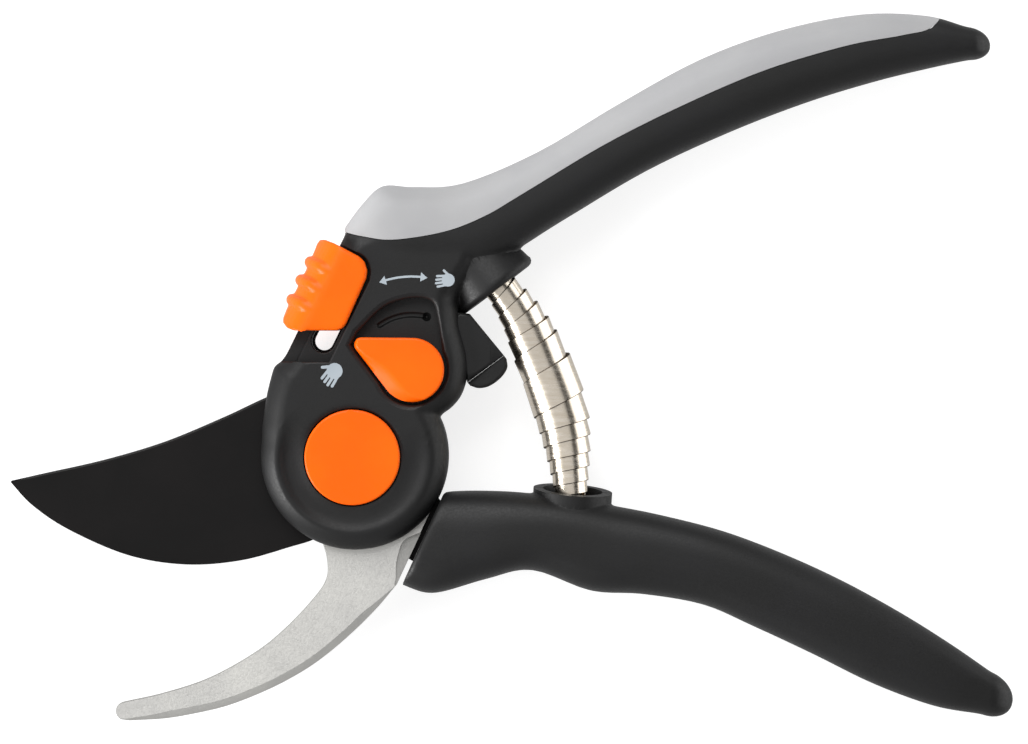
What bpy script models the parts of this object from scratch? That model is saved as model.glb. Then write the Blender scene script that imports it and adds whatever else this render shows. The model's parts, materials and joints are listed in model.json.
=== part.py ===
"""Bypass pruning shears lying on their back, open, with the blades to -X and the handles to +X.

The main pivot stands on the origin and runs along +Z; z = 0 is the surface they lie on.
Every size below is in millimetres and becomes metres where a mesh is made.
"""

import math

import bmesh
import bpy
from mathutils import Matrix, Vector

MM = 0.001
GAP = 0.3  # clearance between neighbouring pieces

# Layers, from the surface up
MID = 9.25  # shearing plane, between blade and hook
REAR_COVER, FRONT_COVER = 0.5, 18.0  # outer faces of the head
BLADE_LOW, BLADE_HIGH = 6.2, 9.1
HOOK_LOW, HOOK_HIGH = 9.4, 12.6
REAR_FLOOR, FRONT_FLOOR = 3.9, 14.6  # floors of the lock channels and the selector pocket
REAR_SEAT, FRONT_SEAT = 3.3, 15.2  # floors of the pivot counterbores

CLOSING_ANGLE = 40.0  # full travel of the lower handle
HEAD_CENTRE, HEAD_RADIUS = (0.5, 0.3), 18.7
BOSS_RADIUS = 14.0  # round tang of the blade about the pivot
FINGER_RADIUS = 25.8  # reach of the blade's lock finger

SLIDE = Vector((0.44, 0.898))  # way the lock slider moves, from locked to open
LOCK_TRAVEL = 6.0
LOCK_PIN_LOCKED = Vector((-5.8, 23.2))
LOCK_PIN_OPEN = LOCK_PIN_LOCKED + LOCK_TRAVEL * SLIDE
LOCK_PIN_RADIUS = 1.5
LOCK_SLOT_RADIUS = 1.85

SELECTOR = Vector((11.9, 17.4))  # axis of the grip-width selector
SELECTOR_TIP = Vector((1.9, 22.4))
SELECTOR_SHAFT_RADIUS = 2.0
DETENT_DIMPLE = (14.8, 28.0)
CAM_REACH = 5.0
CAM_ANGLE = 314.0  # direction of the cam nose at the wide setting
CAM_NOSE_RADIUS = 1.2

BOLT_RADIUS = 3.5
BUSH_RADIUS = 4.7
CAP_RADIUS = 9.5

CUP_CENTRE, CUP_AXIS = Vector((43.8, -5.3)), Vector((0.06, 0.998))
COLLAR_CENTRE, COLLAR_AXIS = Vector((28.9, 33.5)), Vector((0.6, -0.8))
SEAT_RADIUS = 7.7  # outside of the spring cup and the collar
SEAT_BORE_PROFILE = ((5.9, -5.0), (5.9, 2.0))
POST_HOLE = ((1.9, -6.9), (1.9, -4.0))
SPRING_POST = ((1.6, -6.6), (1.6, -4.7), (2.6, -4.6), (2.6, -3.4), (2.1, -3.2), (1.5, -1.4))

GRIP_THICKNESS = 2.4

# Half-sections of the two handles: outer edge, inner edge and half depth
UPPER_STATIONS = (
    ((-1.8, 45.6), (3.0, 38.5), 7.6),
    ((2.0, 50.7), (6.0, 37.8), 8.6),
    ((6.0, 54.2), (10.0, 37.4), 9.1),
    ((12.0, 54.0), (16.0, 37.5), 9.25),
    ((22.0, 54.7), (27.0, 38.4), 9.25),
    ((37.0, 61.0), (42.0, 47.3), 9.25),
    ((53.0, 70.5), (58.5, 57.1), 9.25),
    ((69.5, 79.5), (75.0, 64.8), 9.1),
    ((85.5, 85.3), (90.5, 70.8), 8.8),
    ((101.5, 88.5), (104.5, 75.1), 8.2),
    ((114.5, 88.2), (116.0, 77.9), 7.2),
    ((122.6, 86.0), (123.2, 79.4), 6.2),
)
UPPER_TIP = 4.6
LOWER_STATIONS = (
    ((18.2, -7.1), (9.6, -25.6), 8.9),
    ((24.5, -6.8), (15.8, -26.4), 9.1),
    ((33.0, -7.1), (26.0, -23.8), 9.25),
    ((43.0, -8.2), (35.0, -22.5), 9.25),
    ((53.0, -9.9), (47.5, -26.3), 9.25),
    ((62.0, -11.7), (58.0, -27.0), 9.25),
    ((74.0, -14.8), (70.0, -29.5), 9.25),
    ((86.0, -19.3), (80.0, -33.8), 9.1),
    ((98.0, -24.8), (92.0, -39.4), 8.8),
    ((110.0, -31.4), (104.0, -45.3), 8.2),
    ((120.0, -37.7), (116.0, -49.7), 7.4),
    ((127.5, -42.9), (125.5, -51.4), 6.4),
)
LOWER_TIP = 5.8
# Edge between the grey grip and the black handle, from the head to the tail
GRIP_EDGE = (
    (-6.0, 47.0), (-2.2, 45.1), (2.4, 43.9), (8.4, 43.3), (18.4, 44.9), (26.4, 48.0),
    (34.4, 52.7), (50.4, 62.3), (66.4, 70.3), (82.4, 77.1), (98.4, 81.9), (109.5, 84.0),
    (115.5, 85.7), (119.5, 91.0),
)

BLADE_SPINE = (
    (-12.0, 13.4), (-17.2, 12.0), (-25.6, 8.2), (-37.6, 3.2), (-49.6, -0.4), (-61.6, -3.2),
    (-68.2, -4.6),
)
BLADE_EDGE = (
    (-68.5, -5.2), (-64.6, -9.2), (-55.6, -15.2), (-43.6, -20.0), (-31.6, -21.5), (-19.6, -20.0),
    (-8.2, -17.4), (-5.2, -13.1),
)
BLADE_BEVEL = 4.2  # width of the ground bevel on the rear face
TANG_TOP = (
    (13.9, -2.2), (15.7, -6.2), (19.0, -9.9), (26.0, -11.6), (34.0, -14.6), (46.0, -16.2), (58.0, -17.6),
)
TANG_BOTTOM = ((59.0, -21.6), (46.0, -21.2), (34.0, -18.6), (24.0, -20.6), (15.0, -22.0), (5.0, -16.6))

HOOK_INNER = (
    (-6.4, -16.0), (-5.2, -20.2), (-5.3, -24.2), (-7.9, -28.2), (-13.6, -34.2), (-19.6, -39.0),
    (-28.6, -44.0), (-37.6, -47.0), (-45.6, -48.8),
)
HOOK_OUTER = (
    (-44.6, -52.6), (-37.6, -52.2), (-31.6, -51.2), (-25.6, -49.8), (-19.6, -47.6), (-13.6, -44.8),
    (-7.6, -41.2), (-1.6, -36.4), (4.4, -30.6), (8.8, -25.4),
)
HOOK_TANG_RIGHT = ((15.6, 4.0), (17.2, 12.0), (17.6, 22.0), (18.6, 33.0), (25.4, 42.6), (45.0, 53.6))
HOOK_TANG_LEFT = ((42.5, 57.0), (26.0, 48.0), (12.0, 40.5), (3.0, 30.0), (-1.0, 19.0), (-9.5, 13.0))

BUMPER_FACE = ((22.9, 14.9), (30.2, 20.3))  # seam between the bumper's block and its rubber pad


def clear_scene():
    for item in list(bpy.data.objects):
        bpy.data.objects.remove(item)


def make_material(name, colour, roughness, metallic=0.0):
    made = bpy.data.materials.new(name)
    made.use_nodes = True
    shader = made.node_tree.nodes["Principled BSDF"]
    shader.inputs["Base Color"].default_value = (*colour, 1.0)
    shader.inputs["Roughness"].default_value = roughness
    shader.inputs["Metallic"].default_value = metallic
    return made


def make_object(name, mesh_maker, material=None):
    """An object from a filled bmesh; with no material it is a hidden helper."""
    bmesh.ops.recalc_face_normals(mesh_maker, faces=mesh_maker.faces)
    mesh = bpy.data.meshes.new(name)
    mesh_maker.to_mesh(mesh)
    mesh_maker.free()
    made = bpy.data.objects.new(name, mesh)
    bpy.context.scene.collection.objects.link(made)
    if material:
        mesh.materials.append(material)
    else:
        made.hide_render = True
        made.display_type = "WIRE"
    mesh.shade_smooth()
    mesh.set_sharp_from_angle(angle=math.radians(35))
    return made


def combine(target, other, operation):
    step = target.modifiers.new(f"{operation.lower()} {other.name}", "BOOLEAN")
    step.operation = operation
    step.object = other


def cut(target, *others):
    for other in others:
        combine(target, other, "DIFFERENCE")


def join(target, *others):
    for other in others:
        combine(target, other, "UNION")


def keep(target, *others):
    for other in others:
        combine(target, other, "INTERSECT")


def smooth_line(points, per_span):
    """A Catmull-Rom line through the points, with per_span steps between each two."""
    ends = [2 * Vector(points[0]) - Vector(points[1]), 2 * Vector(points[-1]) - Vector(points[-2])]
    knots = [ends[0], *map(Vector, points), ends[1]]
    line = []
    for before, start, finish, after in zip(knots, knots[1:], knots[2:], knots[3:]):
        for step in range(per_span):
            t = step / per_span
            line.append(
                0.5 * (2 * start + (finish - before) * t
                       + (2 * before - 5 * start + 4 * finish - after) * t ** 2
                       + (3 * start - before - 3 * finish + after) * t ** 3)
            )
    return [*line, knots[-2]]


def polar(radius, degrees, centre=(0, 0)):
    angle = math.radians(degrees)
    return Vector(centre) + radius * Vector((math.cos(angle), math.sin(angle)))


def arc(radius, first, last, steps, centre=(0, 0)):
    return [polar(radius, first + (last - first) * k / steps, centre) for k in range(steps + 1)]


def turned(point, degrees):
    angle = math.radians(degrees)
    x, y = point
    return Vector((x * math.cos(angle) - y * math.sin(angle), x * math.sin(angle) + y * math.cos(angle)))


def offset_outline(outline, distance):
    """The closed counter-clockwise outline grown by distance, or shrunk where it is negative."""
    grown = []
    count = len(outline)
    for k, point in enumerate(outline):
        before = (point - outline[k - 1]).normalized()
        after = (outline[(k + 1) % count] - point).normalized()
        normal = Vector((before.y + after.y, -before.x - after.x))
        if normal.length < 1e-6:
            normal = Vector((before.y, -before.x))
        normal.normalize()
        stretch = min(1.4, 1 / max(0.3, normal.dot(Vector((before.y, -before.x)))))
        grown.append(point + normal * distance * stretch)
    sound = [edge_distance(point, outline) > abs(distance) * 0.97 for point in grown]
    return [point if sound[k] else nearest_sound(grown, sound, k) for k, point in enumerate(grown)]


def edge_distance(point, outline):
    """How far a point is from the closed outline."""
    nearest = 1e9
    for k, start in enumerate(outline):
        way = outline[(k + 1) % len(outline)] - start
        share = max(0.0, min(1.0, (point - start).dot(way) / way.length_squared))
        nearest = min(nearest, (point - start - way * share).length)
    return nearest


def nearest_sound(points, sound, k):
    """The closest point along the line that isn't folded over."""
    count = len(points)
    steps = sorted(range(-count // 2, count // 2 + 1), key=abs)
    return next((points[(k + step) % count] for step in steps if sound[(k + step) % count]), points[k])


def skin(rings):
    """A bmesh over rings of equal length, closed at both ends. Ring points are in millimetres."""
    made = bmesh.new()
    rows = [[made.verts.new(Vector(point) * MM) for point in ring] for ring in rings]
    for low, high in zip(rows, rows[1:]):
        for k in range(len(low)):
            made.faces.new((low[k - 1], low[k], high[k], high[k - 1]))
    made.faces.new(rows[0])
    made.faces.new(rows[-1])
    bmesh.ops.remove_doubles(made, verts=made.verts, dist=MM / 1000)
    return made


def prism(name, outline, low, high, material=None):
    rings = [[(point[0], point[1], level) for point in outline] for level in (low, high)]
    return make_object(name, skin(rings), material)


def layered(name, outline, layers, material=None):
    """A plate whose edge steps in: layers are pairs of height and inset."""
    rings = []
    for level, inset in layers:
        shrunk = offset_outline(outline, -inset) if inset else outline
        rings.append([(point.x, point.y, level) for point in shrunk])
    return make_object(name, skin(rings), material)


def rod(name, centre, profile, material=None, sides=24):
    """A turned piece standing along Z: profile is pairs of radius and height, from the bottom up."""
    rings = [[(*polar(radius, 360 * k / sides), level) for k in range(sides)] for radius, level in profile]
    made = make_object(name, skin(rings), material)
    made.location = (centre[0] * MM, centre[1] * MM, 0)
    return made


def move_origin(item, point):
    """Put the object's origin on the upright line through the point, leaving its shape in place."""
    shift = Vector((point[0] * MM, point[1] * MM, 0))
    item.data.transform(Matrix.Translation(-shift))
    item.location += shift


def lying_rod(name, centre, axis, profile, material=None, sides=20):
    """A turned piece about a line in the mid plane: profile is pairs of radius and distance along axis."""
    along = Vector((*axis, 0)).normalized()
    across = Vector((-along.y, along.x, 0))
    up = Vector((0, 0, 1))
    middle = Vector((*centre, MID))
    rings = []
    for radius, distance in profile:
        ring = []
        for k in range(sides):
            angle = 2 * math.pi * (k + 0.5) / sides
            out = across * math.cos(angle) + up * math.sin(angle)
            ring.append(middle + along * distance + radius * out)
        rings.append(ring)
    return make_object(name, skin(rings), material)


def handle_blank(name, stations, tip_length, inset=0.0, material=None, sides=16, per_span=2):
    """A handle lofted through squarish sections, with a rounded tail; inset shrinks every section."""
    squareness = 2 / 3.0
    outer = smooth_line([s[0] for s in stations], per_span)
    inner = smooth_line([s[1] for s in stations], per_span)
    depth = [d.x for d in smooth_line([(s[2], 0.0) for s in stations], per_span)]
    sections = []
    for edge, opposite, half_depth in zip(outer, inner, depth):
        half = (edge - opposite) / 2
        half *= max(0.25, 1 - inset / half.length)
        sections.append(((edge + opposite) / 2, half, max(0.5, half_depth - inset)))
    centre, half, half_depth = sections[-1]
    ahead = (centre - sections[-2][0]).normalized()
    for angle in (30, 55, 75):
        share = math.cos(math.radians(angle))
        reach = (tip_length - inset) * math.sin(math.radians(angle))
        sections.append((centre + ahead * reach, half * share, half_depth * share))
    rings = []
    for centre, half, half_depth in sections:
        ring = []
        for k in range(sides):
            angle = 2 * math.pi * k / sides
            up = math.copysign(abs(math.cos(angle)) ** squareness, math.cos(angle))
            side = math.copysign(abs(math.sin(angle)) ** squareness, math.sin(angle))
            place = centre + half * up
            ring.append((place.x, place.y, MID + half_depth * side))
        rings.append(ring)
    return make_object(name, skin(rings), material)


def slot_outline(first, last, radius, steps=8):
    way = math.degrees(math.atan2(last.y - first.y, last.x - first.x))
    return [*arc(radius, way - 90, way + 90, steps, last), *arc(radius, way + 90, way + 270, steps, first)]


def head_outline():
    """Plan of the head and neck, counter-clockwise from the notch above the lower handle."""
    lobe = smooth_line(
        ((17.3, 8.3), (19.6, 9.9), (21.6, 12.6), (22.2, 16.4), (21.4, 21.2), (20.2, 26.0), (20.6, 31.4)), 2)
    inside_handle = [Vector(p) for p in ((25.0, 37.5), (27.0, 43.0), (20.0, 48.0), (6.0, 48.0))]
    rail = [Vector((-1.2, 45.0)), Vector((-13.2, 20.5))]
    shoulder = smooth_line(((-14.3, 19.0), (-15.5, 18.2), (-16.1, 16.6), (-17.2, 12.0), (-18.0, 6.0)), 2)
    round_head = arc(HEAD_RADIUS, 172, 380, 26, HEAD_CENTRE)
    return [*lobe, *inside_handle, *rail, *shoulder, *round_head]


def upper_blank(name, material):
    """Head, neck, handle and spring collar of the upper side as one block."""
    rim = ((4.4, 0.0), (2.2, 0.9), (1.1, 2.0), (0.0, 3.4))
    layers = [(REAR_COVER + height, inset) for height, inset in reversed(rim)]
    layers += [(FRONT_COVER - height, inset) for height, inset in rim]
    blank = layered(name, head_outline(), layers, material)
    handle = handle_blank(f"{name}_handle", UPPER_STATIONS, UPPER_TIP)
    collar = lying_rod(f"{name}_collar", COLLAR_CENTRE, COLLAR_AXIS,
                       ((5.0, -13.0), (SEAT_RADIUS, -10.0), (SEAT_RADIUS, -0.7), (SEAT_RADIUS - 0.6, 0.0)))
    join(blank, handle, collar)
    return blank


def half_space(name, low, high):
    box = [(-80, -70), (150, -70), (150, 110), (-80, 110)]
    return prism(name, box, low, high)


def grip_region(name, rise, inset):
    """The space of the soft grip: above its edge, outside the handle's core."""
    edge = [Vector(point) + Vector((0, rise)) for point in smooth_line(GRIP_EDGE, 2)]
    outline = [*edge, Vector((118.5, 100.0)), Vector((-12.0, 100.0)), Vector((-12.0, edge[0].y))]
    region = prism(name, outline, -3, 22)
    core = handle_blank(f"{name}_core", UPPER_STATIONS, UPPER_TIP, inset)
    cut(region, core)
    return region


def hook_outline():
    """Plan of the fixed hook: jaw, heel, round seat and the tang inside the upper handle."""
    inner = smooth_line(HOOK_INNER, 2)
    outer = smooth_line(HOOK_OUTER, 2)
    tip = arc(1.85, 95, 262, 6, (-45.5, -50.7))
    heel = [Vector((16.95, -7.9))]
    seat_right = arc(18.0, -22, 6, 4)
    seat_left = arc(16.2, 144, 246, 10)
    return [*inner, *tip[1:-1], *outer, *heel, *seat_right[1:],
            *smooth_line(HOOK_TANG_RIGHT, 2), *smooth_line(HOOK_TANG_LEFT, 2), *seat_left]


def lock_finger():
    """The hooked finger that the lock pin drops behind, and the selector's stop tooth."""
    seat = turned(LOCK_PIN_LOCKED, -CLOSING_ANGLE)
    opening = math.degrees(math.atan2(SLIDE.y, SLIDE.x)) - CLOSING_ANGLE
    bite = arc(LOCK_SLOT_RADIUS + 0.1, opening - 110, opening - 270, 8, seat)
    tooth = [polar(BOSS_RADIUS, 39.5), polar(15.6, 40.5), polar(15.6, 45), polar(BOSS_RADIUS, 46.5)]
    root = [polar(BOSS_RADIUS, 60), polar(17.0, 63.5), polar(20.0, 64.5)]
    crown = arc(FINGER_RADIUS, 67.5, 73.5, 3)
    back = [polar(24.0, 74.5), polar(18.0, 78.0), polar(BOSS_RADIUS, 86.0)]
    return [*tooth, *root, *bite, *crown, *back]


def blade_outline(bevel=0.0):
    """Plan of the blade, counter-clockwise from the top of its tang; bevel draws the edge back."""
    edge = smooth_line(BLADE_EDGE, 2)
    drawn = []
    for k, point in enumerate(edge):
        ahead = (edge[min(k + 1, len(edge) - 1)] - edge[max(k - 1, 0)]).normalized()
        share = min(1.0, 2.2 * k / len(edge) + 0.12, (len(edge) - 1 - k) / 3)
        drawn.append(point + Vector((-ahead.y, ahead.x)) * bevel * share)
    boss_top = arc(BOSS_RADIUS, -2, 38, 4)
    boss_left = arc(BOSS_RADIUS, 94, 122, 3)
    boss_bottom = arc(BOSS_RADIUS, 252, 286, 4)
    tang = [*reversed(smooth_line(TANG_BOTTOM, 2)), *reversed(smooth_line(TANG_TOP, 2)[1:])]
    return [*boss_top, *lock_finger(), *boss_left, *smooth_line(BLADE_SPINE, 2), *drawn,
            *boss_bottom[1:], *tang]


def sweep_outline():
    """Plan of all that the blade passes over as the handles close, for the rear cover's cavity."""
    left = [Vector(p) for p in ((-26.0, 13.2), (-17.0, 12.6), (-12.2, 13.8))]
    return [
        Vector((26.0, -27.0)), Vector((26.0, 8.2)), Vector((13.4, 8.2)),
        polar(BOSS_RADIUS + 0.8, 36),
        *arc(16.2, 38, 58, 4),
        *arc(FINGER_RADIUS + 0.5, 59, 115.5, 12),
        polar(24.6, 116.5), polar(18.6, 120), polar(17.3, 123.7),
        *reversed(left),
        Vector((-26.0, -27.0)),
    ]


def channel_outline():
    """Plan of the lock slider's channel, open to the left of the head."""
    return [Vector(p) for p in (
        (-20.0, 19.0), (-4.6, 19.0), (3.4, 35.3), (3.2, 38.5), (1.2, 40.9), (-3.4, 42.9), (-7.0, 44.6),
        (-20.0, 50.0))]


def pocket_outline():
    """Plan of the selector's pocket: round below, opening out to the swing of its tip."""
    return [
        *arc(7.0, 203, 390, 14, SELECTOR),
        *smooth_line(((17.4, 23.6), (16.7, 28.0), (15.6, 31.0), (12.0, 31.6), (6.4, 30.0), (0.9, 24.8)), 2),
        Vector((-0.2, 22.4)), Vector((1.0, 20.6)),
    ]


def screw_hole(name, place, head_level):
    """Cutter for a screw driven up from the rear, with its head sunk to head_level."""
    profile = ((3.0, -1.0), (3.0, head_level), (1.7, head_level + 0.01), (1.7, 15.2))
    return rod(name, place, profile, sides=12)


def screw(name, place, head_level, material):
    shank = 1.4
    return rod(name, place,
               ((2.0, head_level - 2.0), (2.6, head_level - 1.6), (2.6, head_level - GAP),
                (shank, head_level - GAP + 0.01), (shank, 13.6), (0.6, 14.6)), material, sides=12)


UPPER_SCREWS = ((33.0, 46.6, 3.4), (65.5, 64.4, 3.4), (98.0, 77.0, 3.6))
LOWER_SCREWS = ((28.0, -16.2, 3.4), (66.0, -21.0, 3.4), (98.0, -34.2, 3.6))
HOOK_PINS = ((22.5, 41.5), (14.0, 34.0))
BLADE_PINS = ((40.0, -18.2), (54.0, -19.3))


def build_upper_side(materials):
    black, steel, plated = materials["black"], materials["steel"], materials["plated"]
    rear_half = half_space("rear_half", -2, MID - GAP / 2)
    front_half = half_space("front_half", MID + GAP / 2, 21)
    void = grip_region("grip_void", 0.0, GRIP_THICKNESS + GAP)
    hook_pocket = prism("hook_pocket", offset_outline(hook_outline(), GAP), 8.0, HOOK_HIGH + GAP)
    sweep = prism("blade_sweep", sweep_outline(), BLADE_LOW - GAP, 10.5)
    cam_room = rod("cam_room", SELECTOR, ((6.8, BLADE_LOW - GAP), (6.8, 10.5)))
    seat_bore = lying_rod("collar_bore", COLLAR_CENTRE, COLLAR_AXIS, SEAT_BORE_PROFILE)
    post_hole = lying_rod("collar_post_hole", COLLAR_CENTRE, COLLAR_AXIS, POST_HOLE, sides=16)
    pin_slot = prism("pin_slot", slot_outline(LOCK_PIN_LOCKED, LOCK_PIN_OPEN, LOCK_SLOT_RADIUS), -2, 21)
    bolt_hole = rod("bolt_hole", (0, 0), ((BOLT_RADIUS + GAP, -2), (BOLT_RADIUS + GAP, 21)))
    dowel_holes = [rod(f"dowel_hole_{k}", place, ((1.8, 5.6), (1.8, 14.8)), sides=12)
                   for k, place in enumerate(HOOK_PINS)]
    screw_holes = [screw_hole(f"upper_screw_hole_{k}", place[:2], place[2])
                   for k, place in enumerate(UPPER_SCREWS)]

    front = upper_blank("front_housing", black)
    keep(front, front_half)
    front_channel = prism("front_channel", channel_outline(), FRONT_FLOOR, 21)
    well_radius = CAP_RADIUS + GAP
    front_well = rod("front_well", (0, 0), ((well_radius, FRONT_SEAT), (well_radius, 21)), sides=40)
    pocket = prism("selector_pocket", pocket_outline(), FRONT_FLOOR, 21)
    dimple = rod("detent_dimple", DETENT_DIMPLE, ((0.3, 13.8), (0.8, FRONT_FLOOR + 0.1)), sides=12)
    hole_radius = SELECTOR_SHAFT_RADIUS + GAP
    shaft_hole = rod("shaft_hole", SELECTOR, ((hole_radius, 8), (hole_radius, 21)))
    cut(front, void, hook_pocket, front_channel, front_well, bolt_hole, pocket, dimple, shaft_hole,
        pin_slot, seat_bore, post_hole, *dowel_holes, *screw_holes)

    rear = upper_blank("rear_housing", black)
    keep(rear, rear_half)
    rear_channel = prism("rear_channel", channel_outline(), -2, REAR_FLOOR)
    rear_well = rod("rear_well", (0, 0), ((8.0, -2), (8.0, REAR_SEAT)), sides=32)
    cut(rear, void, sweep, cam_room, rear_channel, rear_well, bolt_hole,
        pin_slot, seat_bore, post_hole, *dowel_holes, *screw_holes)

    grip = handle_blank("grip_inlay", UPPER_STATIONS, UPPER_TIP, material=materials["grey"])
    keep(grip, grip_region("grip_room", GAP, GRIP_THICKNESS))

    hook = prism("hook_blade", hook_outline(), HOOK_LOW, HOOK_HIGH, steel)
    cut(hook, rod("hook_bore", (0, 0), ((BOLT_RADIUS + GAP, 8), (BOLT_RADIUS + GAP, 14))), shaft_hole,
        *dowel_holes, screw_holes[0])

    for k, place in enumerate(HOOK_PINS):
        rod(f"hook_dowel_{k + 1}", place, ((1.1, 5.9), (1.5, 6.2), (1.5, 14.2), (1.1, 14.5)), steel, 12)
    for k, (x, y, level) in enumerate(UPPER_SCREWS):
        screw(f"upper_screw_{k + 1}", (x, y), level, plated)

    lying_rod("upper_spring_post", COLLAR_CENTRE, COLLAR_AXIS, SPRING_POST, black, sides=16)


def build_pivot(materials):
    plated = materials["plated"]
    rod("pivot_bolt", (0, 0),
        ((3.0, 1.6), (BOLT_RADIUS, 2.0), (BOLT_RADIUS, FRONT_SEAT + GAP), (7.6, FRONT_SEAT + GAP + 0.01),
         (7.6, 16.6), (7.0, 16.9)), plated, sides=32)
    nut = rod("pivot_nut", (0, 0), ((6.0, 0.95), (6.5, 1.2), (6.5, 2.2), (6.0, 2.5)), plated, sides=6)
    cut(nut, rod("nut_bore", (0, 0), ((BOLT_RADIUS + 0.25, -2), (BOLT_RADIUS + 0.25, 6)), sides=32))
    washer = rod("wave_washer", (0, 0), ((6.4, 2.7), (6.4, 3.1)), plated, sides=32)
    cut(washer, rod("washer_bore", (0, 0), ((BOLT_RADIUS + 0.4, 0), (BOLT_RADIUS + 0.4, 6)), sides=32))
    wall = ((BUSH_RADIUS, BLADE_LOW), (BUSH_RADIUS, BLADE_HIGH))
    bush = rod("pivot_bush", (0, 0), wall, materials["bronze"], 32)
    cut(bush, rod("bush_bore", (0, 0), ((BOLT_RADIUS + 0.3, 4), (BOLT_RADIUS + 0.3, 12)), sides=32))
    rod("pivot_cap", (0, 0),
        ((8.9, 17.2), (CAP_RADIUS, 17.4), (CAP_RADIUS, 18.0), (CAP_RADIUS - 0.5, 18.35), (6.0, 18.5),
         (2.0, 18.55)), materials["orange"], sides=36)
    rod("rear_cap", (0, 0), ((6.6, 0.0), (7.4, 0.25), (7.6, 0.65), (7.6, 0.7)), materials["black"], 32)


def build_lower_side(materials):
    black = materials["black"]
    rear_half = half_space("lower_rear_half", -2, MID - GAP / 2)
    front_half = half_space("lower_front_half", MID + GAP / 2, 21)
    cup_bore = lying_rod("cup_bore", CUP_CENTRE, CUP_AXIS, SEAT_BORE_PROFILE)
    post_hole = lying_rod("cup_post_hole", CUP_CENTRE, CUP_AXIS, POST_HOLE, sides=16)
    tang_room = prism("tang_room", offset_outline(blade_outline(), GAP), BLADE_LOW - GAP, 10.5)
    pin_holes = [rod(f"tang_hole_{k}", place, ((1.8, 2.6), (1.8, 12.6)), sides=12)
                 for k, place in enumerate(BLADE_PINS)]
    screw_holes = [screw_hole(f"lower_screw_hole_{k}", place[:2], place[2])
                   for k, place in enumerate(LOWER_SCREWS)]
    cup_profile = ((5.0, -11.0), (SEAT_RADIUS, -8.0), (SEAT_RADIUS, -0.7), (SEAT_RADIUS - 0.5, 0.0))
    for name, half in (("lower_handle_front", front_half), ("lower_handle_rear", rear_half)):
        shell = handle_blank(name, LOWER_STATIONS, LOWER_TIP, material=black)
        cup = lying_rod(f"{name}_cup", CUP_CENTRE, CUP_AXIS, cup_profile)
        join(shell, cup)
        keep(shell, half)
        cut(shell, cup_bore, post_hole, *pin_holes, *screw_holes)
        if half is rear_half:
            cut(shell, tang_room)

    flat_side = blade_outline()
    ground_side = blade_outline(BLADE_BEVEL)
    rings = [[(p.x, p.y, BLADE_LOW) for p in ground_side], [(p.x, p.y, BLADE_HIGH) for p in flat_side]]
    blade = make_object("cutting_blade", skin(rings), materials["coated"])
    cut(blade, rod("blade_bore", (0, 0), ((BUSH_RADIUS + GAP, 4), (BUSH_RADIUS + GAP, 12)), sides=32),
        screw_holes[0], *pin_holes)

    for k, place in enumerate(BLADE_PINS):
        profile = ((1.1, 2.9), (1.5, 3.2), (1.5, 12.0), (1.1, 12.3))
        rod(f"tang_pin_{k + 1}", place, profile, materials["steel"], 12)
    for k, (x, y, level) in enumerate(LOWER_SCREWS):
        screw(f"lower_screw_{k + 1}", (x, y), level, materials["plated"])
    lying_rod("lower_spring_post", CUP_CENTRE, CUP_AXIS, SPRING_POST, black, sides=16)


def build_spring(material):
    """A double volute spring: one strip wound with its widest turn halfway, along a bent line."""
    line = smooth_line(((43.5, -9.9), (43.4, -5.6), (42.9, 1.0), (41.8, 8.0), (40.0, 13.2), (38.1, 17.5),
                        (36.2, 22.0), (33.8, 27.2), (30.8, 31.6), (26.5, 36.7)), 6)
    lengths = [0.0]
    for start, finish in zip(line, line[1:]):
        lengths.append(lengths[-1] + (finish - start).length)
    strip_width, strip_thickness, turns, steps = 5.0, 0.22, 13, 12
    end_radius, middle_radius = 3.15, 5.6
    first, last = strip_width / 2, lengths[-1] - strip_width / 2

    def place(distance):
        k = max(i for i, length in enumerate(lengths[:-1]) if length <= distance + 1e-9)
        way = (line[k + 1] - line[k]).normalized()
        return line[k] + way * (distance - lengths[k]), way

    rings = []
    for step in range(turns * steps + 1):
        share = step / (turns * steps)
        angle = 2 * math.pi * turns * share
        middle, way = place(first + (last - first) * share)
        swell = 1 - abs(2 * share - 1)
        radius = end_radius + (middle_radius - end_radius) * swell
        along, across = Vector((*way, 0)), Vector((-way.y, way.x, 0))
        out = across * math.cos(angle) + Vector((0, 0, 1)) * math.sin(angle)
        centre = Vector((*middle, MID))
        ring = []
        for side, depth in ((-1, 0), (1, 0), (1, 1), (-1, 1)):
            ring.append(centre + along * side * strip_width / 2 + out * (radius - depth * strip_thickness))
        rings.append(ring)
    make_object("return_spring", skin(rings), material)


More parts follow.
